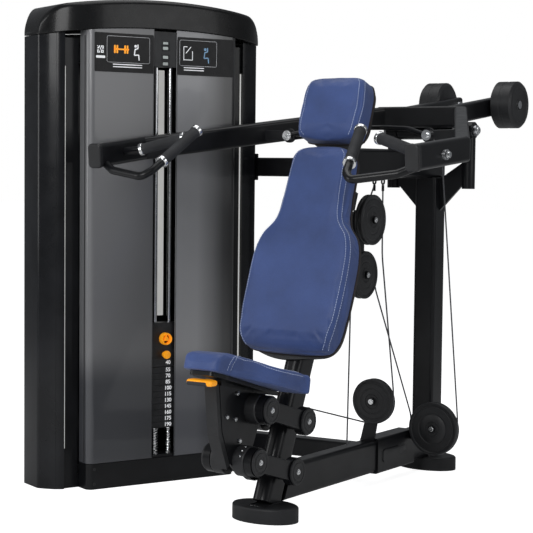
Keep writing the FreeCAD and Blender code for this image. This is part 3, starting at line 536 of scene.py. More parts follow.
def stuffed(name, loop, place, thickness, front_round, shape, board):
    """A padded solid: a rounded slab, remeshed, shaped, swollen by cloth pressure and smoothed.

    loop is a closed anticlockwise outline in millimetres, place puts (a, depth, b) in the scene,
    shape gives how far back the front lies at (a, b), and what is deeper than board stays where it is."""
    slab = Piece(name)
    levels = [(front_round * (1 - math.sin(angle)), front_round * (1 - math.cos(angle)))
              for angle in quarter(6)]
    levels += [(0, thickness * 0.6), (0, thickness - 4), (3, thickness)]
    rings = []
    for inset, depth in levels:
        places = [Vector((point.x, depth, point.y)) * MM for point in inset_loop(loop, inset)]
        rings.append([slab.mesh.verts.new(spot) for spot in places])
    slab.wrap(rings, capped=True)
    bmesh.ops.recalc_face_normals(slab.mesh, faces=slab.mesh.faces)
    pad = slab.to_object()
    bpy.context.view_layer.objects.active = pad
    remesh = pad.modifiers.new("remesh", "REMESH")
    remesh.mode = "VOXEL"
    remesh.voxel_size = VOXEL
    bpy.ops.object.modifier_apply(modifier="remesh")
    held = []
    for index, vert in enumerate(pad.data.vertices):
        a, depth, b = (value / MM for value in vert.co)
        depth += shape(a, b) * max(0.0, 1 - depth / thickness)
        vert.co = place(a, depth, b)
        if depth > board:
            held.append(index)
    pad.data.update()
    swell(pad, held)
    subdivide = pad.modifiers.new("subdivide", "SUBSURF")
    subdivide.levels = 1
    bpy.ops.object.modifier_apply(modifier="subdivide")
    for face in pad.data.polygons:
        face.use_smooth = True
    return pad


def swell(pad, held):
    """Cloth pressure for a few frames, then no point further than SWELL_LIMIT from where it began."""
    before = [vert.co.copy() for vert in pad.data.vertices]
    group = pad.vertex_groups.new(name="held")
    group.add(held, 1.0, "REPLACE")
    cloth = pad.modifiers.new("cloth", "CLOTH")
    for name, value in CLOTH.items():
        setattr(cloth.settings, name, value)
    cloth.settings.effector_weights.gravity = 0
    cloth.settings.vertex_group_mass = "held"
    cloth.collision_settings.use_collision = False
    cloth.point_cache.frame_start = 1
    cloth.point_cache.frame_end = SWELL_FRAMES
    for number in range(1, SWELL_FRAMES + 1):
        bpy.context.scene.frame_set(number)
    bpy.context.view_layer.objects.active = pad
    bpy.ops.object.modifier_apply(modifier="cloth")
    for vert, start in zip(pad.data.vertices, before):
        move = vert.co - start
        if move.length > SWELL_LIMIT:
            vert.co = start + move * (SWELL_LIMIT / move.length)
    pad.vertex_groups.clear()
    bpy.context.scene.frame_set(1)


def surface_of(pad):
    return BVHTree.FromPolygons([vert.co.copy() for vert in pad.data.vertices],
                                [tuple(face.vertices) for face in pad.data.polygons])


def even(points, pitch):
    """Points every pitch metres along a path."""
    out = [points[0].copy()]
    carried = 0.0
    for start, end in zip(points, points[1:]):
        length = (end - start).length
        while carried + length >= pitch:
            start = start + (end - start) * ((pitch - carried) / length)
            length = (end - start).length
            carried = 0.0
            out.append(start.copy())
        carried += length
    return out


def press_seam(pad, path, width, depth):
    """Pull the cover in along a seam."""
    surface = surface_of(pad)
    tight = even([surface.find_nearest(point)[0] for point in path], 0.002)
    tree = KDTree(len(tight))
    for index, point in enumerate(tight):
        tree.insert(point, index)
    tree.balance()
    normals = [vert.normal.copy() for vert in pad.data.vertices]
    for vert, normal in zip(pad.data.vertices, normals):
        distance = tree.find(vert.co)[2]
        if distance < width:
            vert.co -= normal * (depth * (1 - (distance / width) ** 2))
    pad.data.update()


def sew(thread, pad, path):
    """A row of stitches lying on the cover along a path."""
    surface = surface_of(pad)
    places = even([surface.find_nearest(point)[0] for point in path], STITCH_PITCH * MM)
    for first, second in zip(places, places[1:]):
        middle = (first + second) / 2
        spot, normal, _, _ = surface.find_nearest(middle)
        run = (second - first).normalized()
        half = run * (STITCH_LENGTH * MM / 2)
        raised = spot + normal * (0.35 * MM)
        points = [raised - half - normal * (0.8 * MM), raised - half * 0.6, raised + half * 0.6,
                  raised + half - normal * (0.8 * MM)]
        thread.tube(points, STITCH_RADIUS, 6)


def cover(pad, thread_name, body, replaced, row, seam, seam_depth, stitches):
    """Dress a pad in leather, with a seam and rows of stitches down both sides.

    row(side, inset, depth) is a path along an edge; seam and stitches are its (inset, depth) values."""
    settle(pad, "leather", body, "blue_leather", replaced)
    thread = Piece(thread_name)
    for side in (1, -1):
        press_seam(pad, row(side, *seam), SEAM_WIDTH, seam_depth)
        for inset, depth in stitches:
            sew(thread, pad, row(side, inset, depth))
    thread.finish("thread", body, "blue_leather")


PAD_LEAN = math.radians(20.5)
PAD_AT = Vector((0, 0.053, 0.489))
PAD_IN = Vector((0, math.cos(PAD_LEAN), -math.sin(PAD_LEAN)))
PAD_UP = Vector((0, math.sin(PAD_LEAN), math.cos(PAD_LEAN)))
BACK_HALF = [(118, 34), (170, 66), (184, 134), (188, 230), (186, 345), (168, 414), (130, 466), (120, 534),
             (116, 614), (106, 684), (62, 714)]
HEAD_HALF = [(84, 740), (112, 764), (117, 848), (110, 922), (72, 952)]
BACK_DEPTH = 73
HEAD_DEPTH = 85
SIDE_INSET = 4
FRONT_INSET = 5
CREASE_UP = 82


def on_pad(x, depth, up):
    return PAD_AT + X_AXIS * (x * MM) + PAD_IN * (depth * MM) + PAD_UP * (up * MM)


def full_loop(half, inset):
    """A closed, smooth, anticlockwise outline from its right-hand half, bottom to top."""
    right = [Vector(point) for point in half]
    left = [Vector((-x, up)) for x, up in reversed(half)]
    return inset_loop(smooth_loop(right + left, 9), inset)


def roll(share):
    """A quarter round, from nothing at 0 to nearly 1 at the far end."""
    share = min(1.0, share)
    return 1 - math.sqrt(1 - 0.98 * share * share)


def rolled(low, high, low_roll, high_roll, low_depth, high_depth):
    """How far the front falls back near a pad's lower and upper ends."""
    def shape(x, up):
        depth = FRONT_INSET
        if up < low + low_roll:
            depth += low_depth * roll((low + low_roll - up) / low_roll)
        if up > high - high_roll:
            depth += high_depth * roll((up - high + high_roll) / high_roll)
        return depth
    return shape


def upright_pad(name, half, thickness, shape, replaced, ends):
    """A pad on the leaning board: its cushion, its two side seams and their stitches."""
    pad = stuffed(name, full_loop(half, SIDE_INSET), on_pad, thickness, 15, shape, thickness - 14)
    low, high = ends
    edge = smooth_loop([Vector(point) for point in half[1:-1]], 9, closed=False)
    edge = [Vector((half[1][0] - 14, low))] + edge + [Vector((half[-1][0] + 22, high))]

    def row(side, inset, depth):
        return [on_pad(side * (point.x - inset), depth + shape(point.x, point.y), point.y) for point in edge]

    cover(pad, name + "_stitching", "frame", replaced, row, (7, 2), 0.0015, [(15, -6), (-4, 12)])
    return pad


def edge_piping(name, half, depth):
    """A dark welt round the back edge of a pad."""
    piece = Piece(name)
    piece.tube([on_pad(point.x, depth, point.y) for point in full_loop(half, 5)], 3.2, 10, closed=True)
    piece.finish("piping", "frame", "board_black")


SEAT_TILT = math.radians(16)
SEAT_AT = Vector((0, 0.012, 0.466))
SEAT_AHEAD = Vector((0, -math.cos(SEAT_TILT), math.sin(SEAT_TILT)))
SEAT_UP = Vector((0, math.sin(SEAT_TILT), math.cos(SEAT_TILT)))
SEAT_DEPTH = 71
SEAT_NOSE = 296
SEAT_HALF = [(55, 364), (71, 306), (98, 245), (136, 178), (155, 120), (158, 50), (150, 6)]


def on_seat(x, down, ahead):
    return SEAT_AT + X_AXIS * (x * MM) + SEAT_AHEAD * (ahead * MM) - SEAT_UP * (down * MM)


def seat_shape(x, ahead):
    """A shallow dish, falling away over the nose and at the rear edge."""
    down = 3 + 7 * math.exp(-((ahead - 150) / 80) ** 2)
    down += 3 * (abs(x) / 150) ** 2
    if ahead > SEAT_NOSE:
        down += 44 * roll((ahead - SEAT_NOSE) / 68)
    if ahead < 60:
        down += 12 * (1 - ahead / 60) ** 2
    return down


def add_seat():
    loop = full_loop(SEAT_HALF[::-1], SIDE_INSET)
    pad = stuffed("seat_cushion", loop, on_seat, SEAT_DEPTH, 16, seat_shape, SEAT_DEPTH - 12)
    edge = smooth_loop([Vector(point) for point in SEAT_HALF[:-1]], 9, closed=False)[::-1]

    def row(side, inset, down):
        path = [on_seat(side * (point.x - inset), down + seat_shape(point.x, point.y), point.y)
                for point in edge if point.y < 268]
        for ahead, low in ((286, 10), (300, 20), (308, 34), (311, 50), (312, 64)):
            path.append(on_seat(side * (71 - inset * 0.2), low, ahead - 0.7 * inset))
        return path

    cover(pad, "seat_stitching", "seat_carriage", "seat_pad", row, (6, 2), 0.002, [(15, -6), (-5, 11)])


def add_upholstery():
    back_shape = rolled(34, 714, 66, 34, 36, 20)
    head_shape = rolled(740, 952, 34, 34, 22, 22)
    back = upright_pad("back_cushion", BACK_HALF, BACK_DEPTH, back_shape, "back_pad", (37, 710))
    crease = [on_pad(x, back_shape(x, CREASE_UP), CREASE_UP) for x in range(-150, 160, 10)]
    press_seam(back, crease, 0.014, 0.0012)
    upright_pad("headrest_cushion", HEAD_HALF, HEAD_DEPTH, head_shape, "headrest_pad", (743, 950))
    edge_piping("back_welt", BACK_HALF, BACK_DEPTH)
    edge_piping("headrest_welt", HEAD_HALF, HEAD_DEPTH)
    add_seat()


# ---------------------------------------------------------------- round parts
PULLEYS = {
    "upper_pulley": ((30, 575, 908), X_AXIS, 84),
    "lower_pulley": ((-6, 592, 722), X_AXIS, 80),
    "bracket_pulley": ((30, 615, 296), Y_AXIS, 76),
    "floor_pulley": ((131, 862, 180), Y_AXIS, 92),
}
PULLEY_HALF = 13


def add_pulleys():
    """Grooved wheels with stepped faces, ribs between hub and rim, a plastic collar on each side and a cap
    screw on the axle.
    """
    half = PULLEY_HALF
    screws = Piece("pulley_axle_screws")
    for name, (centre, axis, radius) in PULLEYS.items():
        at = Vector(centre) * MM
        groove = [(radius - 5 + 5 * (1 - math.cos(angle)), 6.6 * math.sin(angle))
                  for angle in [math.pi * (step / 10 - 0.5) for step in range(11)]]
        face = [(9.4, -half), (22, -half), (23, -half + 1.6), (25, -half + 1.6), (26, -half + 0.4),
                (radius * 0.52, -half + 1.2), (radius * 0.54, -half + 2.4), (radius * 0.58, -half + 2.4),
                (radius * 0.6, -half + 1.2), (radius - 17, -half + 1.8), (radius - 15, -half + 3.2),
                (radius - 11, -half + 3.2), (radius - 8, -half + 0.4), (radius - 2, -half),
                (radius, -half + 2), (radius, -7.4)]
        other_face = [(r, -h) for r, h in reversed(face)]
        wheel = Piece(name + "_wheel")
        wheel.lathe(face + groove + other_face, at, axis, 80, closed=True)
        wheel.finish("plastic", name, "dark_plastic", name)
        collar = Piece(name + "_collar")
        for side in (-1, 1):
            collar.lathe([(10.2, half - 1), (10.2, half + 0.3), (11, half + 0.7), (14.6, half + 0.7),
                          (15.2, half + 0.2), (15.2, half - 1)], at, axis * side, 40, closed=True)
        collar.finish("plastic", name, "dark_plastic")
        out = axis if axis == X_AXIS else -axis
        screws.socket_bolt(at + out * (21.5 * MM), out, 7.5, 3)
    screws.finish("chrome", "frame", "plated_steel")


HUB_FACE = 88
REAR_PIVOTS = [(100, 298), (40, 150)]
FRONT_PIVOTS = [(-108.59, 357.81), (-168.59, 209.81)]


def add_hub_covers(name, pivots, body):
    """Turned covers with two raised rings and a cap screw in the middle, on both outer faces."""
    covers = Piece(name + "_turned")
    screws = Piece(name + "_screws")
    profile = [(0, 0), (41, 0), (41, 4), (39, 6.6), (34, 6.6), (32.5, 5), (29, 5), (27.5, 6.8), (19, 6.8),
               (17, 5.4), (14, 5.4), (0, 5.4)]
    for y, z in pivots:
        for out in (X_AXIS, -X_AXIS):
            at = Vector((0, y, z)) * MM + out * (HUB_FACE * MM)
            covers.lathe(profile, at, out, 56)
            screws.socket_bolt(at + out * (5.2 * MM), out, 7, 4)
    covers.finish("plastic", body, "dark_plastic", name)
    screws.finish("chrome", body, "plated_steel")


WEIGHT_AT = Vector((146, 1394, 1318))


def add_counterweights():
    """Round end weights: a stepped rim, a dished face and a recessed bolt."""
    half = 44
    inner = [(0, -half), (60, -half), (64, -half + 2), (76, -half + 2), (86, -half + 9)]
    rim = [(86, -6), (85, -5), (85, 5), (86, 6)]
    outer = [(86, half - 9), (79, half - 1.5), (74, half), (66, half), (63, half - 3), (24, half - 4.5),
             (21, half - 2.5), (17, half - 2.5), (16, half - 9), (0, half - 9)]
    weights = Piece("counterweights_turned")
    screws = Piece("counterweight_screws")
    for side in (1, -1):
        at = Vector((side * WEIGHT_AT.x, WEIGHT_AT.y, WEIGHT_AT.z)) * MM
        weights.lathe(inner + rim + outer, at, X_AXIS * side, 80)
        screws.socket_bolt(at + X_AXIS * (side * (half - 9.5) * MM), X_AXIS * side, 10, 8)
    weights.finish("plastic", "press_arms", "dark_plastic", "counterweights")
    screws.finish("steel", "press_arms", "plated_steel")


LOWER_RING, UPPER_RING = Vector((336, -91, 1093)), Vector((296, 42, 1195))
INNER_START, INNER_END = Vector((494, 0, 1130)), Vector((350, 50, 1170))
RIB_PITCH = 3.2


def add_grips():
    """Rubber sleeves, ribbed between two flanges, and a round plug past each sleeve's far end."""
    sleeves = Piece("grip_sleeves")
    ends = Piece("grip_end_plugs")
    radius, bore = 17, 12.6
    outer_run = (UPPER_RING - LOWER_RING).normalized()
    inner_run = (INNER_END - INNER_START).normalized()
    for start, end, run in ((LOWER_RING + outer_run * 8, UPPER_RING - outer_run * 12, outer_run),
                            (INNER_START + inner_run * 12, INNER_END - inner_run * 14, inner_run)):
        length = (end - start).length
        flange = [(bore, 0.2), (radius + 1.2, 0.2), (radius + 1.6, 2), (radius + 1.2, 5), (radius, 7)]
        ribs = []
        for index in range(int((length - 24) / RIB_PITCH)):
            height = 12 + index * RIB_PITCH
            ribs += [(radius, height), (radius + 0.55, height + 0.7), (radius + 0.55, height + 1.7),
                     (radius, height + 2.4)]
        far_flange = [(r, length - h) for r, h in reversed(flange)]
        sleeves.lathe(flange + ribs + far_flange, start * MM, run, 40)
        ends.lathe([(12.4, -1), (14.2, 0), (14.2, 1.6), (11, 3.2), (6, 3.9), (0, 4.1)],
                   (end + run * 12) * MM, run, 32)
    sleeves.mirror()
    ends.mirror()
    sleeves.finish("rubber", "press_arms", "grip_rubber", "hand_grips")
    ends.finish("plastic", "press_arms", "dark_plastic")


# ---------------------------------------------------------------- tower details
STACK_X = 12
ROD_GAP = 56
ROD_Y = -22
PLATE_FRONT = -46
PLATE_PITCH = 20.9
STACK_BOTTOM = 186
PLATES = 11
FIRST_LOAD, LOAD_STEP = 40, 15
PANEL_FRONT = -58


def add_springs():
    """Coil springs under the stack, one on each guide rod, between two collars."""
    coils = Piece("stack_coils")
    turns, steps = 9, 22
    low, height, radius = 99, 80, 12.2
    for rod_x in (STACK_X + ROD_GAP / 2, STACK_X - ROD_GAP / 2):
        points = []
        for index in range(turns * steps + 1):
            angle = 2 * math.pi * index / steps
            points.append(in_tower(rod_x + radius * math.cos(angle), ROD_Y + radius * math.sin(angle),
                                   low + height * index / (turns * steps)))
        coils.tube(points, 2.1, 8)
        for z in (low - 2.5, low + height + 2):
            coils.lathe([(8.4, -1.4), (14.6, -1.4), (14.6, 2.4), (13.6, 3), (8.4, 3)],
                        in_tower(rod_x, ROD_Y, z), Z_AXIS, 32, closed=True)
    coils.finish("chrome", "frame", "plated_steel", "stack_springs")


def number_mesh(number, at):
    """The flat figures of a number, facing out of the tower."""
    curve = bpy.data.curves.new("number", "FONT")
    curve.body = str(number)
    curve.size = 0.0185
    curve.offset = 0.0004
    curve.extrude = 0.0003
    curve.align_x = "CENTER"
    curve.align_y = "CENTER"
    text = add_to_scene("number", curve)
    turn = Matrix((TOWER_X, Z_AXIS, -TOWER_Y)).transposed().to_4x4()
    text.matrix_world = Matrix.Translation(at) @ turn
    bpy.context.view_layer.update()
    mesh = bpy.data.meshes.new_from_object(text)
    mesh.transform(text.matrix_world)
    bpy.data.objects.remove(text)
    return mesh


def add_numbers():
    """Generic load numbers and pin holes down the plates' fronts; the first number is on the moving head."""
    holes = Piece("pin_hole_liners")
    numbers = {body: Piece("load_numbers_" + body) for body in ("frame", "stack_head")}
    for index in range(PLATES):
        z = STACK_BOTTOM + (PLATES - 1 - index) * PLATE_PITCH + 10
        if index:
            holes.lathe([(3.4, -1), (3.4, 0.5), (4.2, 0.9), (5.2, 0.9), (5.6, 0.4), (5.6, -1)],
                        in_tower(STACK_X - 14, PLATE_FRONT, z), -TOWER_Y, 24, closed=True)
        else:
            z += 4
        owner = numbers["frame" if index else "stack_head"]
        owner.mesh.from_mesh(number_mesh(FIRST_LOAD + LOAD_STEP * index,
                                         in_tower(STACK_X + 12, PLATE_FRONT - 0.5, z)))
    holes.finish("plastic", "frame", "plated_steel")
    for body, piece in numbers.items():
        settle(piece.to_object(), "white", body, "plate_iron")


def rounded_outline(x0, x1, y0, y1, corner, steps=6):
    """An anticlockwise rounded rectangle."""
    points = []
    for cx, cy, start in ((x1 - corner, y0 + corner, -90), (x1 - corner, y1 - corner, 0),
                          (x0 + corner, y1 - corner, 90), (x0 + corner, y0 + corner, 180)):
        for step in range(steps + 1):
            angle = math.radians(start + 90 * step / steps)
            points.append((cx + corner * math.cos(angle), cy + corner * math.sin(angle)))
    return points


def tower_plate(piece, outline, y, thickness):
    """A flat shape on the tower's front, drawn in the tower's (x, z) millimetres."""
    piece.wrap([[piece.mesh.verts.new(in_tower(x, depth, z)) for x, z in outline]
                for depth in (y, y - thickness)], capped=True)


def printed(piece, outline):
    """A thin printed shape on a band."""
    tower_plate(piece, outline, PANEL_FRONT - 1.4, 0.3)


def tower_bead(piece, x0, x1, z0, z1, corner, y, radius, steps):
    """A thin rounded bead round a rectangle on the tower's front."""
    loop = [in_tower(x, y, z) for x, z in rounded_outline(x0, x1, z0, z1, corner)]
    piece.tube(loop, radius, steps, closed=True)


def disc(x, z, radius, steps=20):
    return [(x + radius * math.cos(2 * math.pi * k / steps), z + radius * math.sin(2 * math.pi * k / steps))
            for k in range(steps)]


def stroke(x0, z0, x1, z1, width):
    """A straight line of a pictogram as a thin rectangle."""
    start, end = Vector((x0, z0)), Vector((x1, z1))
    run = (end - start).normalized()
    across = Vector((-run.y, run.x)) * (width / 2)
    return [tuple(point) for point in (start - across, end - across, end + across, start + across)]


def seated_figure(piece, x, z, size):
    """A generic stick figure pressing upwards on a seat."""
    for x0, z0, x1, z1 in ((0, 0, 2, 14), (0, 0, 11, 1), (11, 1, 12, -11), (2, 13, 9, 15), (9, 15, 9, 24)):
        printed(piece, stroke(x + x0 * size, z + z0 * size, x + x1 * size, z + z1 * size, 2.6 * size))
    printed(piece, disc(x + 3 * size, z + 20 * size, 3.2 * size))


def add_bands():
    """Dark instruction bands with a thin border line."""
    bands = Piece("instruction_bands")
    for x0, x1 in ((-267, -46), (46, 267)):
        tower_plate(bands, rounded_outline(x0, x1, 1388, 1516, 4), PANEL_FRONT - 0.1, 1.2)
    borders = Piece("band_borders")
    for x0, x1 in ((-222, -62), (54, 200)):
        tower_bead(borders, x0, x1, 1420, 1506, 6, PANEL_FRONT - 1.3, 0.7, 6)
    borders.finish("steel", "frame", "tinted_panel")
    bands.finish("print_black", "frame", "tinted_panel")


def add_pictograms():
    """Generic marks on the bands: a square code, rules, a bench, a loaded bar and two seated figures."""
    marks = Piece("white_pictograms")
    cell = 3.4
    for row, bits in enumerate((0b1110111, 0b1010101, 0b1110011, 0b0001000, 0b1101011, 0b1010110, 0b1110101)):
        for column in range(7):
            if bits >> column & 1:
                x, z = -258 + column * cell, 1449 + row * cell
                far_x, far_z = x + cell - 0.3, z + cell - 0.3
                printed(marks, [(x, z), (far_x, z), (far_x, far_z), (x, far_z)])
    printed(marks, rounded_outline(-262, -229, 1432, 1440, 2))
    for z in (1404, 1412):
        printed(marks, rounded_outline(-200, -90, z, z + 3, 1.4))
        printed(marks, rounded_outline(70, 150, z, z + 3, 1.4))
    seated_figure(marks, -120, 1446, 1.5)
    for x0, z0, x1, z1 in ((70, 1438, 70, 1484), (70, 1440, 104, 1440), (104, 1440, 104, 1470),
                           (78, 1462, 98, 1484), (70, 1484, 84, 1484)):
        printed(marks, stroke(x0, z0, x1, z1, 2.4))
    marks.finish("white", "frame", "tinted_panel")
    bar = Piece("orange_pictogram")
    printed(bar, rounded_outline(-196, -140, 1461, 1466, 2))
    for x in (-196, -187, -158, -149):
        printed(bar, rounded_outline(x, x + 6, 1450, 1477, 2))
    bar.finish("orange", "frame", "tinted_panel")
    figure = Piece("blue_pictogram")
    seated_figure(figure, 150, 1448, 1.5)
    figure.finish("sky", "frame", "tinted_panel")


def add_display():
    """Four small windows between the bands, each in a raised bezel."""
    glass = Piece("display_windows")
    bezel = Piece("display_bezels")
    for z0, z1 in ((1488, 1496), (1470, 1480), (1440, 1450), (1418, 1428)):
        tower_plate(glass, rounded_outline(-9, 10, z0, z1, 1.6), PANEL_FRONT + 1.9, 0.9)
        tower_bead(bezel, -14, 15, z0 - 3, z1 + 3, 3, PANEL_FRONT + 1.4, 1.1, 8)
    glass.finish("lcd", "frame", "dark_plastic")
    bezel.finish("plastic", "frame", "dark_plastic")


def add_tower_trim():
    """Panel edge beads, the pale strip behind the rods (its glow is painted light against the shade of its
    slot), lines in the recesses that glow as painted highlights, a port and kick screws.
    """
    beads = Piece("panel_edge_beads")
    for x, y in ((-45.5, PANEL_FRONT + 1), (45.5, PANEL_FRONT + 1), (-287.5, -30), (287.5, -30)):
        beads.tube([in_tower(x, y, z) for z in (90, 800, 1506)], 1.5, 8)
    beads.finish("plastic", "frame", "tinted_panel")
    strip = Piece("rod_backing_strip")
    strip.block(in_tower(STACK_X + 30, 50, 985), TOWER_AXES, (30, 3, 846), 1.2, 2)
    strip.finish("strip", "frame", "plated_steel")
    # thin glowing lines in the recesses: painted highlights
    recess = Piece("recess_painted_highlights")
    for x in (-341, 341):
        recess.block(in_tower(x, 9.5, 770), TOWER_AXES, (4, 4, 1270), 0.8, 2)
    recess.finish("strip", "frame", "plated_steel")
    port = Piece("cable_port")
    port.lathe([(3.4, -2), (3.4, 4), (9, 4), (12, 2), (12, -2)], Vector((-0.526, 0.698, 0.262)), TOWER_X, 32,
               closed=True)
    port.finish("plastic", "frame", "dark_plastic")
    screws = Piece("kick_panel_screws")
    for x in (-262, 262):
        for z in (18, 68):
            screws.socket_bolt(in_tower(x, PANEL_FRONT - 0.2, z), -TOWER_Y, 4.5, 2.2)
    screws.finish("plastic", "frame", "plated_steel")


TOWER_HALF = 415
PILLAR_DEPTH = 165
COVER_BACK = 255
CROWN_LOW = 1538
CROWN_ARCH = 30


def front_of_tower(x):
    """How far the shell's front stands forward (-) or back (+) of the pillars' plane, across the tower."""
    share = min(1.0, abs(x) / TOWER_HALF)
    return -66 + 26 * share ** 2 + (92 if x < 0 else 52) * share ** 8


def back_of_tower(x):
    return COVER_BACK - max(0, abs(x) - 330) * (COVER_BACK - PILLAR_DEPTH) / (TOWER_HALF - 330)


def add_cap():
    """The crown of the tower: arched, bulging forward, with broad round shoulders and soft upper edges."""
    cap = Piece("tower_crown")
    rings = []
    stations = 96
    for index in range(stations + 1):
        x = -TOWER_HALF * math.cos(math.pi * index / stations)
        share = abs(x) / TOWER_HALF
        low = CROWN_LOW - CROWN_ARCH * share * share
        high = 1633.5 - 36 * share * share
        shoulder = max(0.0, (abs(x) - (TOWER_HALF - 70)) / 70)
        high -= (high - low - 14) * (1 - math.sqrt(max(0.0, 1 - shoulder * shoulder)))
        front, back = front_of_tower(x), back_of_tower(x)
        soft = min(18.0, (high - low) / 3)
        section = [(front + 2, low), (front, low + 2)]
        section += [(front + soft - soft * math.cos(angle), high - soft + soft * math.sin(angle))
                    for angle in quarter(6)]
        section += [(back - soft + soft * math.sin(angle), high - soft + soft * math.cos(angle))
                    for angle in quarter(6)]
        section += [(back, low + 2), (back - 2, low)]
        rings.append([cap.mesh.verts.new(in_tower(x, y, z)) for y, z in section])
    cap.wrap(rings, capped=True)
    cap.finish("cap", "frame", "gloss_black", "top_cap")


def add_pillars():
    """Pillars whose fronts curve back to the sides, with a lip over the recess."""
    pillars = Piece("pillar_shells")
    for side, turn in ((1, 12), (-1, 50)):
        front = [(345, 1)] + [(345 + 62 * step / 8, turn * (step / 8) ** 1.7) for step in range(9)]
        corner = [(411, turn + 5), (413.6, turn + 11), (414.6, turn + 18), (414.6, PILLAR_DEPTH)]
        inside = [(371, PILLAR_DEPTH), (371, 11), (345, 11)]
        low, high = [], []
        for x, y in front + corner + inside:
            top = CROWN_LOW - 2 - CROWN_ARCH * (x / TOWER_HALF) ** 2
            low.append(pillars.mesh.verts.new(in_tower(side * x, y, 0.3)))
            high.append(pillars.mesh.verts.new(in_tower(side * x, y, top)))
        pillars.wrap([low, high], capped=True)
    pillars.finish("shell", "frame", "gloss_black", "tower_pillars")


KNOB_X = 8
DIAL_Z = 492
PIN_Z = 438


def add_knobs():
    """The orange dial with three spokes, and the selector pin's round knob with a finger groove."""
    dial = Piece("dial_rim")
    at = in_tower(KNOB_X, PLATE_FRONT - 1, DIAL_Z)
    dial.lathe([(15.5, 0.5), (20.5, 0.5), (21, 4), (20.6, 17), (19.4, 20.5), (17.4, 21.4), (15.6, 20),
                (15.2, 12)], at, -TOWER_Y, 56, closed=True)
    for index in range(3):
        angle = math.pi / 2 + 2 * math.pi * index / 3
        run = TOWER_X * math.cos(angle) + Z_AXIS * math.sin(angle)
        dial.block(at + run * (10.5 * MM) - TOWER_Y * (11 * MM), (run, TOWER_Y.cross(run), TOWER_Y),
                   (14, 5.4, 12), 1.4)
    dial.lathe([(0, 1), (7.4, 1), (7.4, 17), (6, 19), (0, 19.4)], at, -TOWER_Y, 40)
    dial.finish("orange", "increment_dial", "orange_plastic", "increment_dial")
    back = Piece("dial_back")
    back.lathe([(0, 0.6), (15.4, 0.6), (15.4, 4.5), (0, 4.5)], at, -TOWER_Y, 40)
    back.lathe([(0, -36), (5, -36), (5, 0.5), (0, 0.5)], at, -TOWER_Y, 24)
    back.finish("plastic", "increment_dial", "dark_plastic")
    knob = Piece("pin_knob")
    at = in_tower(KNOB_X, PLATE_FRONT - 1, PIN_Z)
    knob.lathe([(0, 0.6), (9, 0.6), (10, 3), (9.4, 7), (10.6, 11), (13.6, 15), (14, 20), (13, 23), (10, 24.2),
                (0, 24.6)], at, -TOWER_Y)
    knob.finish("orange", "selector_pin", "orange_plastic", "selector_pin")
    shank = Piece("pin_shank")
    shank.lathe([(0, -24), (3, -24), (4.9, -21), (4.9, 0.5), (0, 0.5)], at, -TOWER_Y, 24)
    shank.finish("steel", "selector_pin", "plated_steel")


# ---------------------------------------------------------------- lever, bolts, welds
LEVER_PIN = Vector((0, -0.306, 0.459))
POST_Y = 5


def add_lever():
    """The seat lever: an orange rounded paddle with a dark soft insert, ribbed in front, and its pin."""
    paddle = Piece("lever_paddle")
    paddle.block(LEVER_PIN + Vector((0, -0.0335, 0)), SCENE_AXES, (91, 35, 17.4), 7.6, 5)
    paddle.block(LEVER_PIN + Vector((0, -0.012, 0)), SCENE_AXES, (27, 38, 12), 3)
    paddle.finish("orange", "seat_lever", "orange_plastic", "seat_lever")
    insert = Piece("lever_insert")
    insert.block(Vector((-0.007, -0.3455, 0.4568)), SCENE_AXES, (72, 25.6, 13.6), 5, 4)
    for x in range(-34, 21, 9):
        insert.block(Vector((x * MM, -0.3578, 0.4562)), SCENE_AXES, (2.2, 1.2, 9), 0.5, 2)
    insert.finish("rubber", "seat_lever", "dark_plastic")
    pin = Piece("lever_pin")
    pin.lathe([(0, 12), (5.4, 12), (5.4, 21), (4.4, 22), (0, 22)], LEVER_PIN, X_AXIS, 24)
    pin.mirror()
    pin.finish("steel", "seat_lever", "plated_steel")


def add_bolts():
    """Cap screws on the arms, the pivot, the seat plates and the carriage's lower barrel."""
    arm = Piece("arm_cap_screws")
    pivot = Piece("pivot_cap_screws")
    seat = Piece("seat_plate_screws")
    for side in (1, -1):
        arm.socket_bolt(Vector((side * 0.609, -0.008, 1.120)), X_AXIS * side, 9, 7)
        arm.socket_bolt(Vector((side * 0.2535, 0.519, 1.187)), X_AXIS * -side, 6, 4)
        pivot.socket_bolt(Vector((side * 0.1808, 1.058, 1.216)), X_AXIS * side, 12, 8)
    for y, z in ((-192, 412), (-246, 349), (-201, 337), (-179, 269)):
        for side in (1, -1):
            seat.socket_bolt(Vector((side * 25.6, y, z)) * MM, X_AXIS * side, 5, 3.4)
    for x in (-46, 46):
        for angle in (math.radians(28), math.radians(52), math.radians(76)):
            out = -Y_AXIS * math.cos(angle) + Z_AXIS * math.sin(angle)
            seat.socket_bolt(Vector((x, *FRONT_PIVOTS[1])) * MM + out * (45.6 * MM), out, 3.6, 2.4)
    arm.finish("chrome", "press_arms", "plated_steel")
    pivot.finish("chrome", "frame", "plated_steel")
    seat.finish("chrome", "seat_carriage", "plated_steel")


def weld_round(piece, box, place):
    """A rippled weld bead round a tube's section (x0, x1, y0, y1); place puts its points in the scene."""
    points = [Vector(place(x, y)) * MM for x, y in rounded_outline(*box, 12)]
    piece.tube(even(points + [points[0]], 0.0032)[:-1], 2.6, 6, closed=True, ripple=0.16)


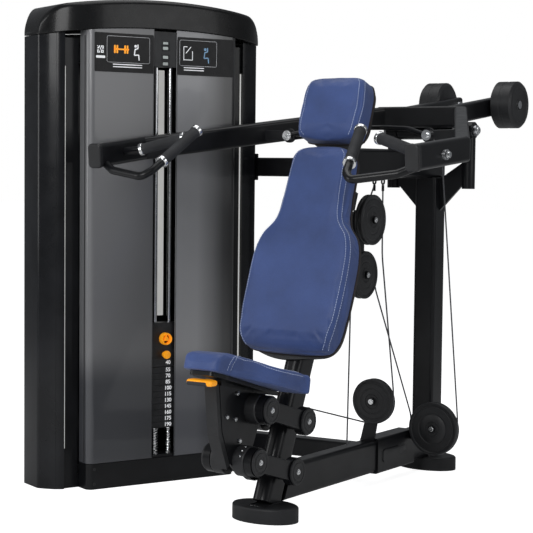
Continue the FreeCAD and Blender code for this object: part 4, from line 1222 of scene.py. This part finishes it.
def add_welds():
    """Weld beads where the frame's tubes meet."""
    beads = Piece("weld_beads")
    foot_top = 48.5
    for z in (foot_top, 1046.5):
        weld_round(beads, (-41, 41, -42, 42), lambda x, y: (x, 1058 + y, z))
    weld_round(beads, (-30, 30, -55, 55), lambda x, y: (x, POST_Y + y, foot_top))
    weld_round(beads, (-30, 30, 49, 157), lambda x, z: (x, 1015.5, z))
    lean = math.tan(math.radians(23.7))
    weld_round(beads, (-30, 30, 50, 157), lambda x, z: (x, POST_Y + 54.8 + (z - 48) * lean, z))
    beads.finish("black", "frame", "frame_black")


def add_sleeve_plugs():
    """Oblong plugs in the recesses of the beam's rear sleeve."""
    plugs = Piece("sleeve_plugs")
    for side in (1, -1):
        for y in (0.700, 0.800):
            plugs.block(Vector((side * 0.0366, y, 0.104)), SCENE_AXES, (2.4, 64, 30), 1.1)
    plugs.finish("plastic", "frame", "frame_black")


# ---------------------------------------------------------------- the build
def dress_cad():
    dress("black", "front_post", "base_beam", "beam_sleeve", "rear_column", "top_beam", "tower_crossbeam",
          "floor_cross_tube", "pivot_posts", "arm_yoke", "arm_left", "arm_right", "tie_brackets", "tie_bar",
          "upper_links", "lower_links", "seat_side_plates", "pad_brackets", "pulley_brackets",
          "tower_uprights", "tower_cross_members", "back_cover", "kick_panel", "handle_tubes", "seat_pan")
    dress("foot", "front_foot", "rear_foot")
    dress("chrome", "grip_rings", "guide_rods", "tie_rods", "lock_cylinder")
    dress("steel", "pivot_shaft", "rear_axles", "carriage_pins", "arm_bolts")
    dress("plastic", "arm_end_caps", "carriage_barrels", "seat_strap", "display_module", "pad_boards")
    dress("iron", "weight_plates", "stack_head")
    dress("cable", "drive_cables")
    dress("panel", "front_panels")


add_camera()
add_studio()
make_finishes()
dress_cad()
add_upholstery()
add_pulleys()
add_hub_covers("rear_hub_covers", REAR_PIVOTS, "frame")
add_hub_covers("front_hub_covers", FRONT_PIVOTS, "seat_carriage")
add_counterweights()
add_grips()
add_cap()
add_pillars()
add_springs()
add_numbers()
add_bands()
add_pictograms()
add_display()
add_tower_trim()
add_knobs()
add_lever()
add_bolts()
add_welds()
add_sleeve_plugs()
